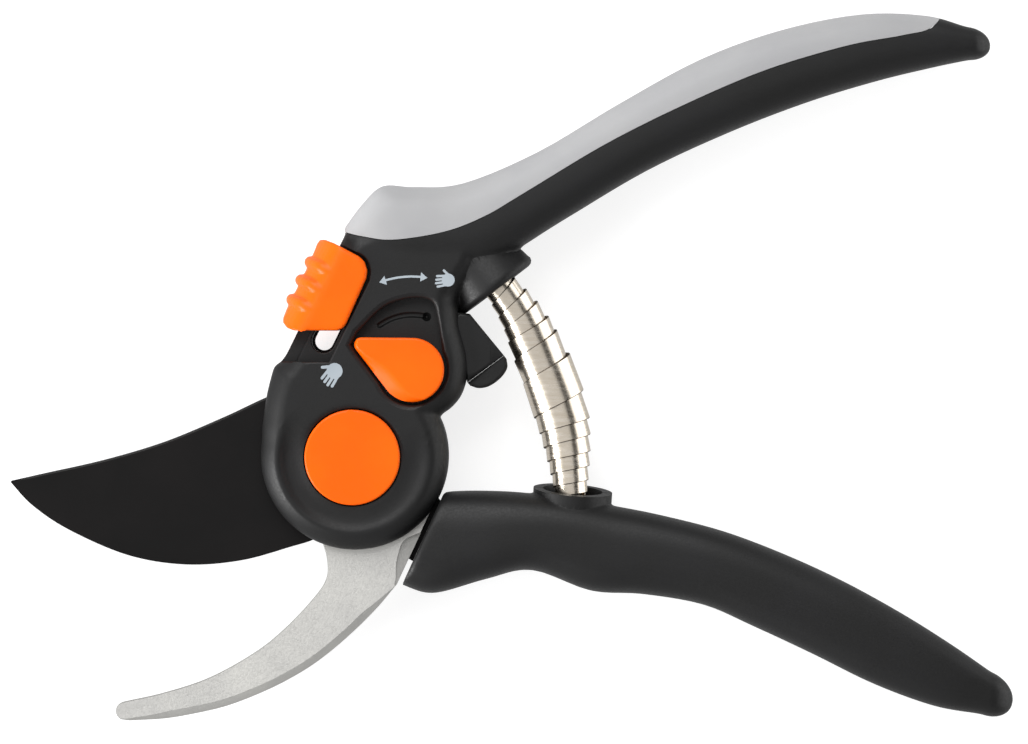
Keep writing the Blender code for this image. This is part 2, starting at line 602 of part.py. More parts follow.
def build_lock(materials):
    """The C-shaped slider that wraps the head's edge, its through pin and its detent spring."""
    plan = smooth_line(((-12.9, 25.4), (-7.0, 25.2), (-3.2, 25.5)), 1)
    plan += smooth_line(((-1.0, 27.2), (1.6, 32.4), (2.6, 35.6), (2.4, 38.2), (0.6, 40.3)), 2)
    plan += [Vector(p) for p in ((-3.7, 42.3), (-6.6, 43.4))]
    for k in range(3):
        bump = Vector((-9.0, 39.9)) - k * 4.2 * SLIDE
        plan += [bump + 1.5 * SLIDE, bump + 0.9 * SLIDE + Vector((-1.1, 0.5)),
                 bump - 0.9 * SLIDE + Vector((-1.3, 0.6)), bump - 1.7 * SLIDE + Vector((-0.5, 0.2))]
    plan += [Vector((-14.6, 28.6))]
    low, high = 0.1, 18.9
    rim = ((0.0, 1.2), (0.5, 0.4), (1.3, 0.0))
    layers = [(low + height, inset) for height, inset in rim]
    layers += [(high - height, inset) for height, inset in reversed(rim)]
    slider = layered("lock_slider", plan, layers, materials["orange"])
    rail_left = Vector((-13.0, 21.0)) + Vector((-SLIDE.y, SLIDE.x)) * GAP
    far = 40 * SLIDE
    inside = [rail_left - far, Vector((30.0, -20.0)), Vector((40.0, 60.0)), rail_left + far]
    core = prism("slider_core", inside, REAR_FLOOR - GAP, FRONT_FLOOR + GAP)
    hole_radius = LOCK_PIN_RADIUS + GAP
    pin_hole = rod("slider_pin_hole", LOCK_PIN_OPEN, ((hole_radius, 1.4), (hole_radius, 17.1)), sides=16)
    cut(slider, core, pin_hole)
    profile = ((1.1, 1.7), (LOCK_PIN_RADIUS, 2.1), (LOCK_PIN_RADIUS, 16.4), (1.1, 16.8))
    rod("lock_pin", LOCK_PIN_OPEN, profile, materials["steel"], sides=16)


def build_selector(materials):
    """The teardrop lever, with the shaft and cam that it turns inside the head."""
    tip_radius, round_radius = 1.5, 6.4
    to_tip = SELECTOR_TIP - SELECTOR
    way = math.degrees(math.atan2(to_tip.y, to_tip.x))
    lean = math.degrees(math.acos((round_radius - tip_radius) / to_tip.length))
    plan = [*arc(round_radius, way + lean, way + 360 - lean, 24, SELECTOR),
            *arc(tip_radius, way - lean, way + lean, 6, SELECTOR_TIP)]
    edge = ((FRONT_FLOOR + GAP, 0.0), (17.6, 0.0), (18.15, 0.35), (18.4, 0.9))
    lever = layered("selector_lever", plan, edge, materials["orange"])
    move_origin(lever, SELECTOR)
    socket_radius = SELECTOR_SHAFT_RADIUS + GAP
    cut(lever, rod("lever_socket", SELECTOR, ((socket_radius, 8), (socket_radius, 17.0)), sides=16))
    nose = polar(CAM_REACH, CAM_ANGLE, SELECTOR)
    cam_low, cam_high = BLADE_LOW + GAP, BLADE_HIGH - 0.1
    thin = SELECTOR_SHAFT_RADIUS - 0.4
    profile = ((thin, cam_low - 0.2), (SELECTOR_SHAFT_RADIUS, cam_low + 0.2), (SELECTOR_SHAFT_RADIUS, 16.3),
               (thin, 16.7))
    shaft = rod("selector_shaft", SELECTOR, profile, materials["steel"], sides=16)
    join(shaft, prism("cam_arm", slot_outline(SELECTOR, nose, CAM_NOSE_RADIUS), cam_low, cam_high))


def build_bumper(materials):
    """The stop that the lower handle meets: a block below the collar with a rubber pad on its end."""
    left, right = map(Vector, BUMPER_FACE)
    seam = (right - left).normalized()
    down = Vector((seam.y, -seam.x))
    low, high = MID - 5.2, MID + 5.2
    wall = [Vector(p) for p in ((20.6, 26.0), (21.8, 21.2), (22.6, 16.6))]
    block = [Vector((23.0, 28.6)), Vector((20.6, 29.0)), *wall, left - down * 0.15, right - down * 0.15]
    edges = ((low, 0.5), (low + 0.5, 0.0), (high - 0.5, 0.0), (high, 0.5))
    layered("bumper_block", block, edges, materials["black"])
    depth = 3.2
    pad = [left + down * 0.15, left + down * 1.0 + seam * 0.2, left + down * 2.3 + seam * 1.4,
           left + down * depth + seam * 3.0, left + down * depth + seam * 6.4,
           left + down * 2.4 + seam * 8.4, left + down * 1.1 + seam * 9.2, right + down * 0.15]
    layered("bumper_pad", pad, edges, materials["rubber"])


def main():
    clear_scene()
    materials = {
        "black": make_material("black glass-filled nylon", (0.028, 0.028, 0.028), 0.5),
        "grey": make_material("grey soft grip", (0.5, 0.5, 0.5), 0.7),
        "orange": make_material("orange nylon", (1.0, 0.16, 0.01), 0.42),
        "coated": make_material("black coated steel", (0.012, 0.012, 0.012), 0.5, 0.3),
        "steel": make_material("satin steel", (0.6, 0.6, 0.58), 0.45, 1.0),
        "plated": make_material("zinc plated steel", (0.65, 0.64, 0.62), 0.35, 1.0),
        "nickel": make_material("nickel plated spring steel", (0.7, 0.65, 0.57), 0.25, 1.0),
        "bronze": make_material("sintered bronze", (0.5, 0.32, 0.14), 0.45, 1.0),
        "rubber": make_material("black rubber", (0.015, 0.015, 0.015), 0.8),
    }
    build_upper_side(materials)
    build_pivot(materials)
    build_lower_side(materials)
    build_spring(materials["nickel"])
    build_lock(materials)
    build_selector(materials)
    build_bumper(materials)


main()
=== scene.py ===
import json
import math

import bmesh
import bpy
from mathutils import Matrix, Vector

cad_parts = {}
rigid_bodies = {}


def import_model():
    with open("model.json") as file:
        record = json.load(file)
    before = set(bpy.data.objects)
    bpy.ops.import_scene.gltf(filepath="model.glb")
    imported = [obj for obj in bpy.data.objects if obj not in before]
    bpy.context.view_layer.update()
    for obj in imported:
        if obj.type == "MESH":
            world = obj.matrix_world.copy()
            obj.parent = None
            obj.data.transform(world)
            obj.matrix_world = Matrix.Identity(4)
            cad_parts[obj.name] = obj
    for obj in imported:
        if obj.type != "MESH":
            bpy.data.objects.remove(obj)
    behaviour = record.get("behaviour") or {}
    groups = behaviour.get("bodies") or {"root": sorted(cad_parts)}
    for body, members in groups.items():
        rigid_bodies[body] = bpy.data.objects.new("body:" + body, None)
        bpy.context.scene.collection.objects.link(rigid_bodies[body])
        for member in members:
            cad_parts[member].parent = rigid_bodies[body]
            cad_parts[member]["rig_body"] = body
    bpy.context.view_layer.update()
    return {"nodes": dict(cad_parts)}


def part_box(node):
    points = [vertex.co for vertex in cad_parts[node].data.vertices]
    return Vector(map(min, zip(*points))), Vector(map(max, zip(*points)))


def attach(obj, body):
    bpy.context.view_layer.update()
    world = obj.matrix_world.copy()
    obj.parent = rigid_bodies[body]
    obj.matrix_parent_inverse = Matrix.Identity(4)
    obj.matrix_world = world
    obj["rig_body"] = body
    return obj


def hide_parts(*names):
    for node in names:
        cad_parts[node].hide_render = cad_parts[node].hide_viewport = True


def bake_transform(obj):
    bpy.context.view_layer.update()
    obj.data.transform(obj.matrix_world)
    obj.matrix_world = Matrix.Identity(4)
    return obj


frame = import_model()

mm = 0.001

# heights in mm above the table, shared by the pieces
midPlane = 9.25
frontFace, rearFace = 18.0, 0.5
bladeLow, bladeHigh = 6.2, 9.1
hookLow, hookHigh = 9.4, 12.6
gap = 0.3


# selecting and applying

def clearSelection():
    if bpy.context.object and bpy.context.object.mode != "OBJECT":
        bpy.ops.object.mode_set(mode="OBJECT")
    bpy.ops.object.select_all(action="DESELECT")


def pick(piece):
    clearSelection()
    piece.select_set(True)
    bpy.context.view_layer.objects.active = piece


def applyModifier(piece, kind, **settings):
    pick(piece)
    step = piece.modifiers.new("step", kind)
    for key, value in settings.items():
        setattr(step, key, value)
    bpy.ops.object.modifier_apply(modifier=step.name)


def carve(piece, *cutters, operation="DIFFERENCE"):
    # the cutters are used up
    for cutter in cutters:
        applyModifier(piece, "BOOLEAN", operation=operation, object=cutter, solver="EXACT")
        bpy.data.objects.remove(cutter)


def copyOf(piece, name):
    pick(piece)
    bpy.ops.object.duplicate()
    double = bpy.context.object
    double.name = name
    return double


def mould(piece, voxel, rounds):
    # one even skin over a rough build-up, with its inside corners run smooth as in a mould
    applyModifier(piece, "REMESH", mode="VOXEL", voxel_size=voxel * mm)
    applyModifier(piece, "SMOOTH", factor=0.5, iterations=rounds)


def bevelFaces(piece, rule, **settings):
    # rounds the edges of the faces that the rule picks
    pick(piece)
    bpy.ops.object.mode_set(mode="EDIT")
    bpy.ops.mesh.select_all(action="DESELECT")
    cage = bmesh.from_edit_mesh(piece.data)
    for face in cage.faces:
        face.select = rule(face)
    bmesh.update_edit_mesh(piece.data)
    bpy.ops.mesh.bevel(**settings)
    bpy.ops.object.mode_set(mode="OBJECT")


def finishPiece(piece, body, slotName, material, *nodes, sharpAngle=35):
    pick(piece)
    piece.data.materials.clear()
    piece.data.materials.append(material)
    for face in piece.data.polygons:
        face.material_index = 0
    bpy.ops.object.shade_smooth_by_angle(angle=math.radians(sharpAngle))
    applyModifier(piece, "WEIGHTED_NORMAL", keep_sharp=True)  # flat faces stay flat beside small rounds
    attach(piece, body)
    if nodes:
        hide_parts(*nodes)
    return piece


# outlines, in mm

def polar(radius, degrees, centre=(0, 0)):
    angle = math.radians(degrees)
    return Vector(centre) + radius * Vector((math.cos(angle), math.sin(angle)))


def arcPoints(radius, first, last, steps, centre=(0, 0)):
    return [polar(radius, first + (last - first) * k / steps, centre) for k in range(steps + 1)]


def smoothLine(points, perSpan):
    ends = [2 * Vector(points[0]) - Vector(points[1]), 2 * Vector(points[-1]) - Vector(points[-2])]
    knots = [ends[0], *map(Vector, points), ends[1]]
    line = []
    for before, start, finish, after in zip(knots, knots[1:], knots[2:], knots[3:]):
        for step in range(perSpan):
            t = step / perSpan
            line.append(0.5 * (2 * start + (finish - before) * t
                               + (2 * before - 5 * start + 4 * finish - after) * t ** 2
                               + (3 * start - before - 3 * finish + after) * t ** 3))
    return [*line, knots[-2]]


def edgeDistance(point, outline):
    nearest = 1e9
    for k, start in enumerate(outline):
        way = outline[(k + 1) % len(outline)] - start
        if way.length_squared < 1e-12:
            continue
        share = max(0.0, min(1.0, (point - start).dot(way) / way.length_squared))
        nearest = min(nearest, (point - start - way * share).length)
    return nearest


def offsetOutline(outline, distance):
    # grows a counter-clockwise outline, and pulls folded corners onto their sound neighbours
    grown, count = [], len(outline)
    for k, point in enumerate(outline):
        before = (point - outline[k - 1]).normalized()
        after = (outline[(k + 1) % count] - point).normalized()
        normal = Vector((before.y + after.y, -before.x - after.x))
        if normal.length < 1e-6:
            normal = Vector((before.y, -before.x))
        normal.normalize()
        stretch = min(1.4, 1 / max(0.3, normal.dot(Vector((before.y, -before.x)))))
        grown.append(point + normal * distance * stretch)
    sound = [edgeDistance(point, outline) > abs(distance) * 0.97 for point in grown]
    order = sorted(range(-count // 2, count // 2 + 1), key=abs)
    nearby = [[(k + step) % count for step in order] for k in range(count)]
    return [grown[next((n for n in near if sound[n]), k)] for k, near in enumerate(nearby)]


def slotOutline(first, last, radius, steps=12):
    way = math.degrees(math.atan2(last.y - first.y, last.x - first.x))
    return [*arcPoints(radius, way - 90, way + 90, steps, last),
            *arcPoints(radius, way + 90, way + 270, steps, first)]


# solids from a circle that is laid on the first ring and pulled up ring by ring

def stackRings(name, rings):
    clearSelection()
    bpy.ops.mesh.primitive_circle_add(vertices=len(rings[0]), radius=0.01, fill_type="NGON",
                                      location=(0, 0, 0))
    piece = bpy.context.object
    piece.name = name
    order = piece.data.attributes.new("order", "INT", "POINT")
    for k, spot in enumerate(rings[0]):
        piece.data.vertices[k].co = Vector(spot) * mm
        order.data[k].value = k
    bpy.ops.object.mode_set(mode="EDIT")
    bpy.ops.mesh.select_all(action="SELECT")
    for ring in rings[1:]:
        bpy.ops.mesh.extrude_region_move()
        cage = bmesh.from_edit_mesh(piece.data)
        place = cage.verts.layers.int["order"]
        for vert in cage.verts:
            if vert.select:
                vert.co = Vector(ring[vert[place]]) * mm
        bmesh.update_edit_mesh(piece.data)
    bpy.ops.mesh.select_all(action="SELECT")
    bpy.ops.mesh.remove_doubles(threshold=0.000002)
    bpy.ops.mesh.normals_make_consistent(inside=False)
    bpy.ops.object.mode_set(mode="OBJECT")
    piece.data.attributes.remove(piece.data.attributes["order"])
    return piece


def plate(name, outline, edge):
    # edge is pairs of height and inset, from the bottom up
    rings = []
    for level, inset in edge:
        shrunk = offsetOutline(outline, -inset) if inset else outline
        rings.append([(spot.x, spot.y, level) for spot in shrunk])
    return stackRings(name, rings)


def turned(name, centre, profile, sides=64):
    # profile is pairs of radius and height, from the bottom up
    return stackRings(name, [[(*polar(radius, 360 * k / sides, centre), level) for k in range(sides)]
                             for radius, level in profile])


def lyingTurned(name, centre, axis, profile, sides=64):
    # the same about a line in the mid plane
    along = Vector((*axis, 0)).normalized()
    across, up = Vector((-along.y, along.x, 0)), Vector((0, 0, 1))
    rings = []
    for radius, distance in profile:
        angles = [2 * math.pi * k / sides for k in range(sides)]
        rings.append([Vector((*centre, midPlane)) + along * distance
                      + radius * (across * math.cos(a) + up * math.sin(a)) for a in angles])
    return stackRings(name, rings)


def flared(name, outline, floor, face, flare):
    # a cutter that opens out at the surface, so that the cut has a rolled lip
    edge = [(floor, 0.0), (face - flare, 0.0), (face - flare * 0.5, -flare * 0.12),
            (face - flare * 0.15, -flare * 0.45), (face, -flare * 0.95), (face + 2.5, -flare * 0.95)]
    return plate(name, outline, edge)


def handleBlank(name, stations, tipLength, inset=0.0, frontRound=0.0, sides=56, perSpan=5):
    # squarish sections from an outer to an inner edge, closed by a round tail; inset gives the core
    outer = smoothLine([s[0] for s in stations], perSpan)
    inner = smoothLine([s[1] for s in stations], perSpan)
    depth = [d.x for d in smoothLine([(s[2], 0.0) for s in stations], perSpan)]
    sections = []
    for a, b, d in zip(outer, inner, depth):
        half = (a - b) / 2
        sections.append(((a + b) / 2, half * max(0.25, 1 - inset / half.length), max(0.5, d - inset)))
    centre, half, halfDepth = sections[-1]
    ahead = (centre - sections[-2][0]).normalized()
    for angle in range(12, 85, 8):
        share = math.cos(math.radians(angle))
        reach = (tipLength - inset) * math.sin(math.radians(angle))
        sections.append((centre + ahead * reach, half * share, halfDepth * share))
    if frontRound:
        centre, half, halfDepth = sections[0]
        ahead = (sections[1][0] - centre).normalized()
        ends = []
        for angle in (0, 20, 40, 60, 80):
            pulled = frontRound * (1 - math.sin(math.radians(angle)))
            forward = frontRound * (1 - math.cos(math.radians(angle)))
            narrowed = half * (1 - 0.15 * pulled / half.length)
            ends.append((centre + ahead * forward, narrowed, halfDepth - pulled))
        sections = [*ends, *[s for s in sections[1:] if (s[0] - centre).dot(ahead) > frontRound]]
    rings = []
    for centre, half, halfDepth in sections:
        ring = []
        for k in range(sides):
            angle = 2 * math.pi * k / sides
            up = math.copysign(abs(math.cos(angle)) ** (2 / 3), math.cos(angle))
            side = math.copysign(abs(math.sin(angle)) ** (2 / 3), math.sin(angle))
            spot = centre + half * up
            ring.append((spot.x, spot.y, midPlane + halfDepth * side))
        rings.append(ring)
    return stackRings(name, rings)


# materials

def linear(code):
    channels = [int(code[k:k + 2], 16) / 255 for k in (1, 3, 5)]
    return (*[c / 12.92 if c < 0.04045 else ((c + 0.055) / 1.055) ** 2.4 for c in channels], 1.0)


def perMm(size):
    return 1 / (size * mm)  # a texture scale for a pattern of that size


def addNode(tree, kind, settings=(), links=()):
    # a setting is a property of the node, or a socket by its name or number
    node = tree.nodes.new(kind)
    for key, value in dict(settings).items():
        if key in node.bl_rna.properties.keys():
            setattr(node, key, value)
        else:
            node.inputs[key].default_value = value
    for key, source in dict(links).items():
        tree.links.new(source, node.inputs[key])
    return node


def newMaterial(name, colour, roughness, metallic=0.0, **sockets):
    made = bpy.data.materials.new(name)
    made.use_nodes = True
    shader = made.node_tree.nodes["Principled BSDF"]
    shader.inputs["Base Color"].default_value = linear(colour)
    shader.inputs["Roughness"].default_value = roughness
    shader.inputs["Metallic"].default_value = metallic
    for key, value in sockets.items():
        shader.inputs[key.replace("_", " ")].default_value = value
    return made, made.node_tree, shader


def grained(name, colours, roughness, grain, bump, metallic=0.0, blotch=14.0, **sockets):
    # a moulded or blasted surface: cloudy colour, with a fine grain in the relief and the gloss.
    # The real grain is a tenth of a millimetre or less, so it is drawn three to six times as coarse,
    # to show.
    made, tree, shader = newMaterial(name, colours[0], roughness[0], metallic, **sockets)
    where = addNode(tree, "ShaderNodeTexCoord").outputs["Object"]
    clouds = addNode(tree, "ShaderNodeTexNoise", {"Scale": perMm(blotch), "Detail": 3.0},
                     {"Vector": where})
    fine = addNode(tree, "ShaderNodeTexNoise", {"Scale": perMm(grain), "Detail": 2.0, "Roughness": 0.6},
                   {"Vector": where})
    tone = addNode(tree, "ShaderNodeMapRange", {"From Min": 0.35, "From Max": 0.65},
                   {"Value": clouds.outputs[0]})
    colour = addNode(tree, "ShaderNodeMix",
                     {"data_type": "RGBA", 6: linear(colours[0]), 7: linear(colours[1])},
                     {0: tone.outputs[0]})
    gloss = addNode(tree, "ShaderNodeMapRange",
                    {"From Min": 0.3, "From Max": 0.7, "To Min": roughness[0], "To Max": roughness[1]},
                    {"Value": fine.outputs[0]})
    relief = addNode(tree, "ShaderNodeBump", {"Strength": bump[0], "Distance": bump[1] * mm},
                     {"Height": fine.outputs[0]})
    tree.links.new(colour.outputs[2], shader.inputs["Base Color"])
    tree.links.new(gloss.outputs[0], shader.inputs["Roughness"])
    tree.links.new(relief.outputs[0], shader.inputs["Normal"])
    return made


# glass-filled nylon, moulded in a spark-eroded tool: dark, with a soft grain that greys under light
blackNylon = grained("blackNylonMoulded", ("#121212", "#151516"), (0.42, 0.56), 0.45, (0.35, 0.05),
                     IOR=1.53, Specular_IOR_Level=0.34)
# soft thermoplastic rubber overmoulding: light grey, dead matt
greyGrip = grained("greyElastomerMoulded", ("#a0a0a2", "#a7a7a8"), (0.52, 0.66), 0.5, (0.25, 0.04),
                   IOR=1.5)
# pigmented nylon from a polished tool: saturated, with a satin shine
orangeNylon = grained("orangeNylonSatin", ("#fb6000", "#ff6701"), (0.30, 0.40), 0.9, (0.12, 0.03),
                      IOR=1.53, Specular_IOR_Level=0.2)
# natural rubber: deep black, slightly dusty
blackRubber = grained("blackRubberMoulded", ("#0f0f0f", "#141414"), (0.55, 0.7), 0.6, (0.3, 0.05),
                      IOR=1.52, Specular_IOR_Level=0.34)
# non-stick film over ground carbon steel: near black, half matt
coatedSteel = grained("coatedCarbonSteel", ("#0b0a0a", "#100e0e"), (0.34, 0.46), 0.35, (0.25, 0.03),
                      IOR=1.38, Specular_IOR_Level=0.3)
# hardened steel after blasting: pale, even, with a fine sparkle
blastedSteel = grained("blastedSteel", ("#d9d8d4", "#cfcecb"), (0.46, 0.62), 0.4, (0.5, 0.06),
                       metallic=1.0)
# zinc plating on turned steel: a cool bright grey
zincPlated = grained("zincPlatedSteel", ("#b9bbbd", "#a7abb0"), (0.24, 0.36), 0.6, (0.15, 0.02),
                     metallic=1.0)
# sintered bronze: brown gold with open pores
bronze = grained("sinteredBronze", ("#a9824e", "#94703f"), (0.4, 0.55), 0.5, (0.4, 0.05), metallic=1.0)
# screen printing ink, pale grey
printInk = grained("screenInkPaleGrey", ("#a7b0b7", "#9ba5ad"), (0.5, 0.6), 0.5, (0.2, 0.02),
                   IOR=1.5)


def rolledSpringSteel():
    # nickel over cold rolled strip: warm and bright, with faint lines round the turns.
    # The rolling lines are a few hundredths of a millimetre apart, so they are drawn at half a
    # millimetre, to show.
    made, tree, shader = newMaterial("nickelPlatedStrip", "#f8ecdc", 0.25, 1.0)
    where = addNode(tree, "ShaderNodeTexCoord").outputs["Object"]
    drawn = addNode(tree, "ShaderNodeMapping", {"Scale": (1.0, 7.0, 1.0)}, {"Vector": where})
    lines = addNode(tree, "ShaderNodeTexNoise", {"Scale": perMm(4.0), "Detail": 3.0},
                    {"Vector": drawn.outputs[0]})
    tone = addNode(tree, "ShaderNodeMapRange", {"From Min": 0.3, "From Max": 0.7},
                   {"Value": lines.outputs[0]})
    colour = addNode(tree, "ShaderNodeMix",
                     {"data_type": "RGBA", 6: linear("#f6e9d6"), 7: linear("#fdf3e4")},
                     {0: tone.outputs[0]})
    gloss = addNode(tree, "ShaderNodeMapRange",
                    {"From Min": 0.3, "From Max": 0.7, "To Min": 0.22, "To Max": 0.29},
                    {"Value": lines.outputs[0]})
    tree.links.new(colour.outputs[2], shader.inputs["Base Color"])
    tree.links.new(gloss.outputs[0], shader.inputs["Roughness"])
    return made


springSteel = rolledSpringSteel()
# the strip's narrow edge faces, dark brown: painted shade, a thin dark line round every turn that stands for the
# shadow where the turns overlap
paintedSeamShade = grained("stripEdgePaintedSeamShade", ("#4a4036", "#3c342c"), (0.4, 0.5), 0.4, (0.1, 0.01),
                   metallic=1.0)
print("materials made")


# the upper side: head cover, neck and handle in two halves

upperHandle = {
    "stations": (
        ((-1.8, 45.6), (3.0, 38.5), 7.6), ((2.0, 50.7), (6.0, 37.8), 8.6),
        ((6.0, 54.2), (10.0, 37.4), 9.1), ((12.0, 54.0), (16.0, 37.5), 9.25),
        ((22.0, 54.7), (27.0, 38.4), 9.25), ((37.0, 61.0), (42.0, 47.3), 9.25),
        ((53.0, 70.5), (58.5, 57.1), 9.25), ((69.5, 79.5), (75.0, 64.8), 9.1),
        ((85.5, 85.3), (90.5, 70.8), 8.8), ((101.5, 88.46), (104.5, 75.1), 8.2),
        ((114.5, 88.2), (116.0, 77.9), 7.2), ((122.6, 86.0), (123.2, 79.4), 6.2),
    ),
    "tip": 4.6,
    "collarCentre": (28.9, 33.5), "collarAxis": (0.6, -0.8),
    "discCentre": (0.45, 0.3), "discRadius": 18.75,
    "rim": ((4.4, 0.0), (3.5, 0.15), (2.7, 0.5), (1.9, 1.05), (1.2, 1.75), (0.6, 2.5), (0.2, 3.2),
            (0.0, 3.9)),
    "voxel": 0.5,
    "smoothing": 6, "gripRebate": 2.6, "gripThickness": 2.4,
    "screws": ((33.0, 46.6, 5.0), (65.5, 64.4, 5.0), (98.0, 77.0, 5.0)),
}
seat = {"bore": 5.9, "depth": 5.0, "upperFlare": 0.5, "lowerFlare": 0.4}
slider = {
    "way": Vector((0.44, 0.898)), "travel": 6.0, "slotRadius": 1.85, "coverPlay": 0.5,
    "pinLocked": Vector((-5.8, 23.2)), "floorFront": 14.6, "floorRear": 3.9,
}
selector = {
    "axis": Vector((11.9, 17.4)), "tip": Vector((1.9, 22.4)), "round": 6.4, "tipRadius": 1.5,
    "floor": 14.6, "groove": (11.0, 75, 126), "dimple": (14.8, 28.0),
}
pivotCap = {"radius": 9.5, "thickness": 1.3, "rim": 0.55, "wellFloor": 15.2}
gripEdge = (
    (-6.0, 47.0), (-2.2, 45.1), (2.4, 43.9), (8.4, 43.3), (18.4, 44.9), (26.4, 48.0), (34.4, 52.7),
    (50.4, 62.3), (66.4, 70.3), (82.4, 77.1), (98.4, 81.9), (109.5, 84.0), (115.5, 85.7), (119.5, 91.0),
)


def headOutline():
    lobe = smoothLine(((17.3, 8.3), (19.7, 9.9), (21.8, 12.6), (22.9, 16.6), (22.7, 21.0), (21.2, 26.6),
                       (20.9, 31.4)), 6)
    insideHandle = [Vector(p) for p in ((25.0, 37.5), (27.0, 43.0), (20.0, 48.0), (6.0, 48.0))]
    rail = [Vector((-1.2, 45.0)), Vector((-13.2, 20.5))]
    shoulder = smoothLine(((-14.3, 19.0), (-15.5, 18.2), (-16.1, 16.6), (-17.2, 12.0), (-18.0, 6.0)), 5)
    disc = arcPoints(upperHandle["discRadius"], 172, 380, 80, upperHandle["discCentre"])
    return [*lobe, *insideHandle, *rail, *shoulder, *disc]


def channelOutline():
    corner = smoothLine(((3.4, 35.3), (3.55, 37.1), (2.95, 39.1), (1.65, 40.4), (-3.3, 43.0)), 6)
    return [Vector((-20.0, 19.0)), Vector((-4.6, 19.0)), *corner, Vector((-7.0, 44.8)),
            Vector((-20.0, 50.0))]


def pocketOutline():
    reach = ((17.6, 23.6), (16.9, 28.0), (15.8, 31.0), (12.0, 31.7), (6.4, 30.0), (0.9, 24.8))
    return [*arcPoints(7.0, 203, 390, 40, selector["axis"]), *smoothLine(reach, 7), Vector((-0.2, 22.4)),
            Vector((1.0, 20.6))]


def grooveLine(half):
    # the round-ended arc that the lever's detent ball runs in
    centre = selector["axis"]
    radius, first, last = selector["groove"]
    ends = [polar(radius, angle, centre) for angle in (first, last)]
    return [*arcPoints(radius + half, first, last, 24, centre),
            *arcPoints(half, last + 20, last + 160, 6, ends[1]),
            *arcPoints(radius - half, last, first, 24, centre),
            *arcPoints(half, first + 200, first + 340, 6, ends[0])]


def sweptOutline():
    left = [Vector(p) for p in ((-26.0, 13.2), (-17.0, 12.6), (-12.2, 13.8))]
    return [Vector((26.0, -27.0)), Vector((26.0, 8.2)), Vector((13.4, 8.2)), polar(14.8, 36),
            *arcPoints(16.2, 38, 58, 6), *arcPoints(26.3, 59, 115.5, 24), polar(24.6, 116.5),
            polar(18.6, 120), polar(17.3, 123.7), *reversed(left), Vector((-26.0, -27.0))]


def halfSpace(name, low, high):
    corners = [Vector(p) for p in ((-90, -80), (150, -80), (150, 110), (-90, 110))]
    return plate(name, corners, ((low, 0.0), (high, 0.0)))


def gripSpace(name, rise, inset):
    # above the grip's edge and outside the handle's core
    edge = [spot + Vector((0, rise)) for spot in smoothLine(gripEdge, 8)]
    outline = [*edge, Vector((119.5, 100.0)), Vector((-14.0, 100.0)), Vector((-14.0, edge[0].y))]
    space = plate(name, outline, ((-3.0, 0.0), (22.0, 0.0)))
    carve(space, handleBlank(f"{name}Core", upperHandle["stations"], upperHandle["tip"], inset))
    return space


def collarSolid(name, grow=0.0):
    # a lipped ring: the spring seat stands a little proud of the neck it grows from
    lip = ((8.9, -1.9), (9.1, -1.2), (8.9, -0.6), (8.5, -0.2), (7.9, 0.0))
    profile = ((4.0, -13.0), (7.2, -10.5), (8.0, -6.0), (8.7, -3.2), *lip)
    return lyingTurned(name, upperHandle["collarCentre"], upperHandle["collarAxis"],
                       [(radius - grow, distance - grow) for radius, distance in profile], 96)


def upperBlank():
    rim = upperHandle["rim"]
    edge = [(rearFace + height, inset) for height, inset in reversed(rim)]
    edge += [(frontFace - height, inset) for height, inset in rim]
    blank = plate("upperBlank", headOutline(), edge)
    carve(blank, handleBlank("upperLoft", upperHandle["stations"], upperHandle["tip"]),
          collarSolid("collarRoot", 0.35), operation="UNION")
    carve(blank, dishAroundCap("dish"))
    mould(blank, upperHandle["voxel"], upperHandle["smoothing"])
    carve(blank, collarSolid("collar"), operation="UNION")
    return blank


def dishAroundCap(name, sides=120):
    # a trough between the cap and the raised rim, which runs out into the flat neck
    depths = ((0.5, 0.6), (9.6, 0.6), (10.2, 0.6), (11.6, 0.78), (12.8, 0.82), (13.8, 0.66),
              (14.6, 0.32), (15.3, 0.0))
    angles = [360 * k / sides for k in range(sides)]
    neckward = [math.cos(math.radians(angle - 82)) for angle in angles]
    fade = [min(1.0, max(0.0, (0.62 - turn) / 0.75)) for turn in neckward]
    fade = [share * share * (3 - 2 * share)
            * (0.8 + 0.65 * max(0.0, math.cos(math.radians(angle - 195)))) for share, angle in zip(fade, angles)]
    rings = []
    for radius, depth in depths:
        shares = [1.0] * sides if radius < 9.7 else fade
        rings.append([(*polar(radius, angle), frontFace + 0.02 - depth * share)
                      for angle, share in zip(angles, shares)])
    rings.append([(*polar(15.3, angle), frontFace + 2) for angle in angles])
    return stackRings(name, rings)


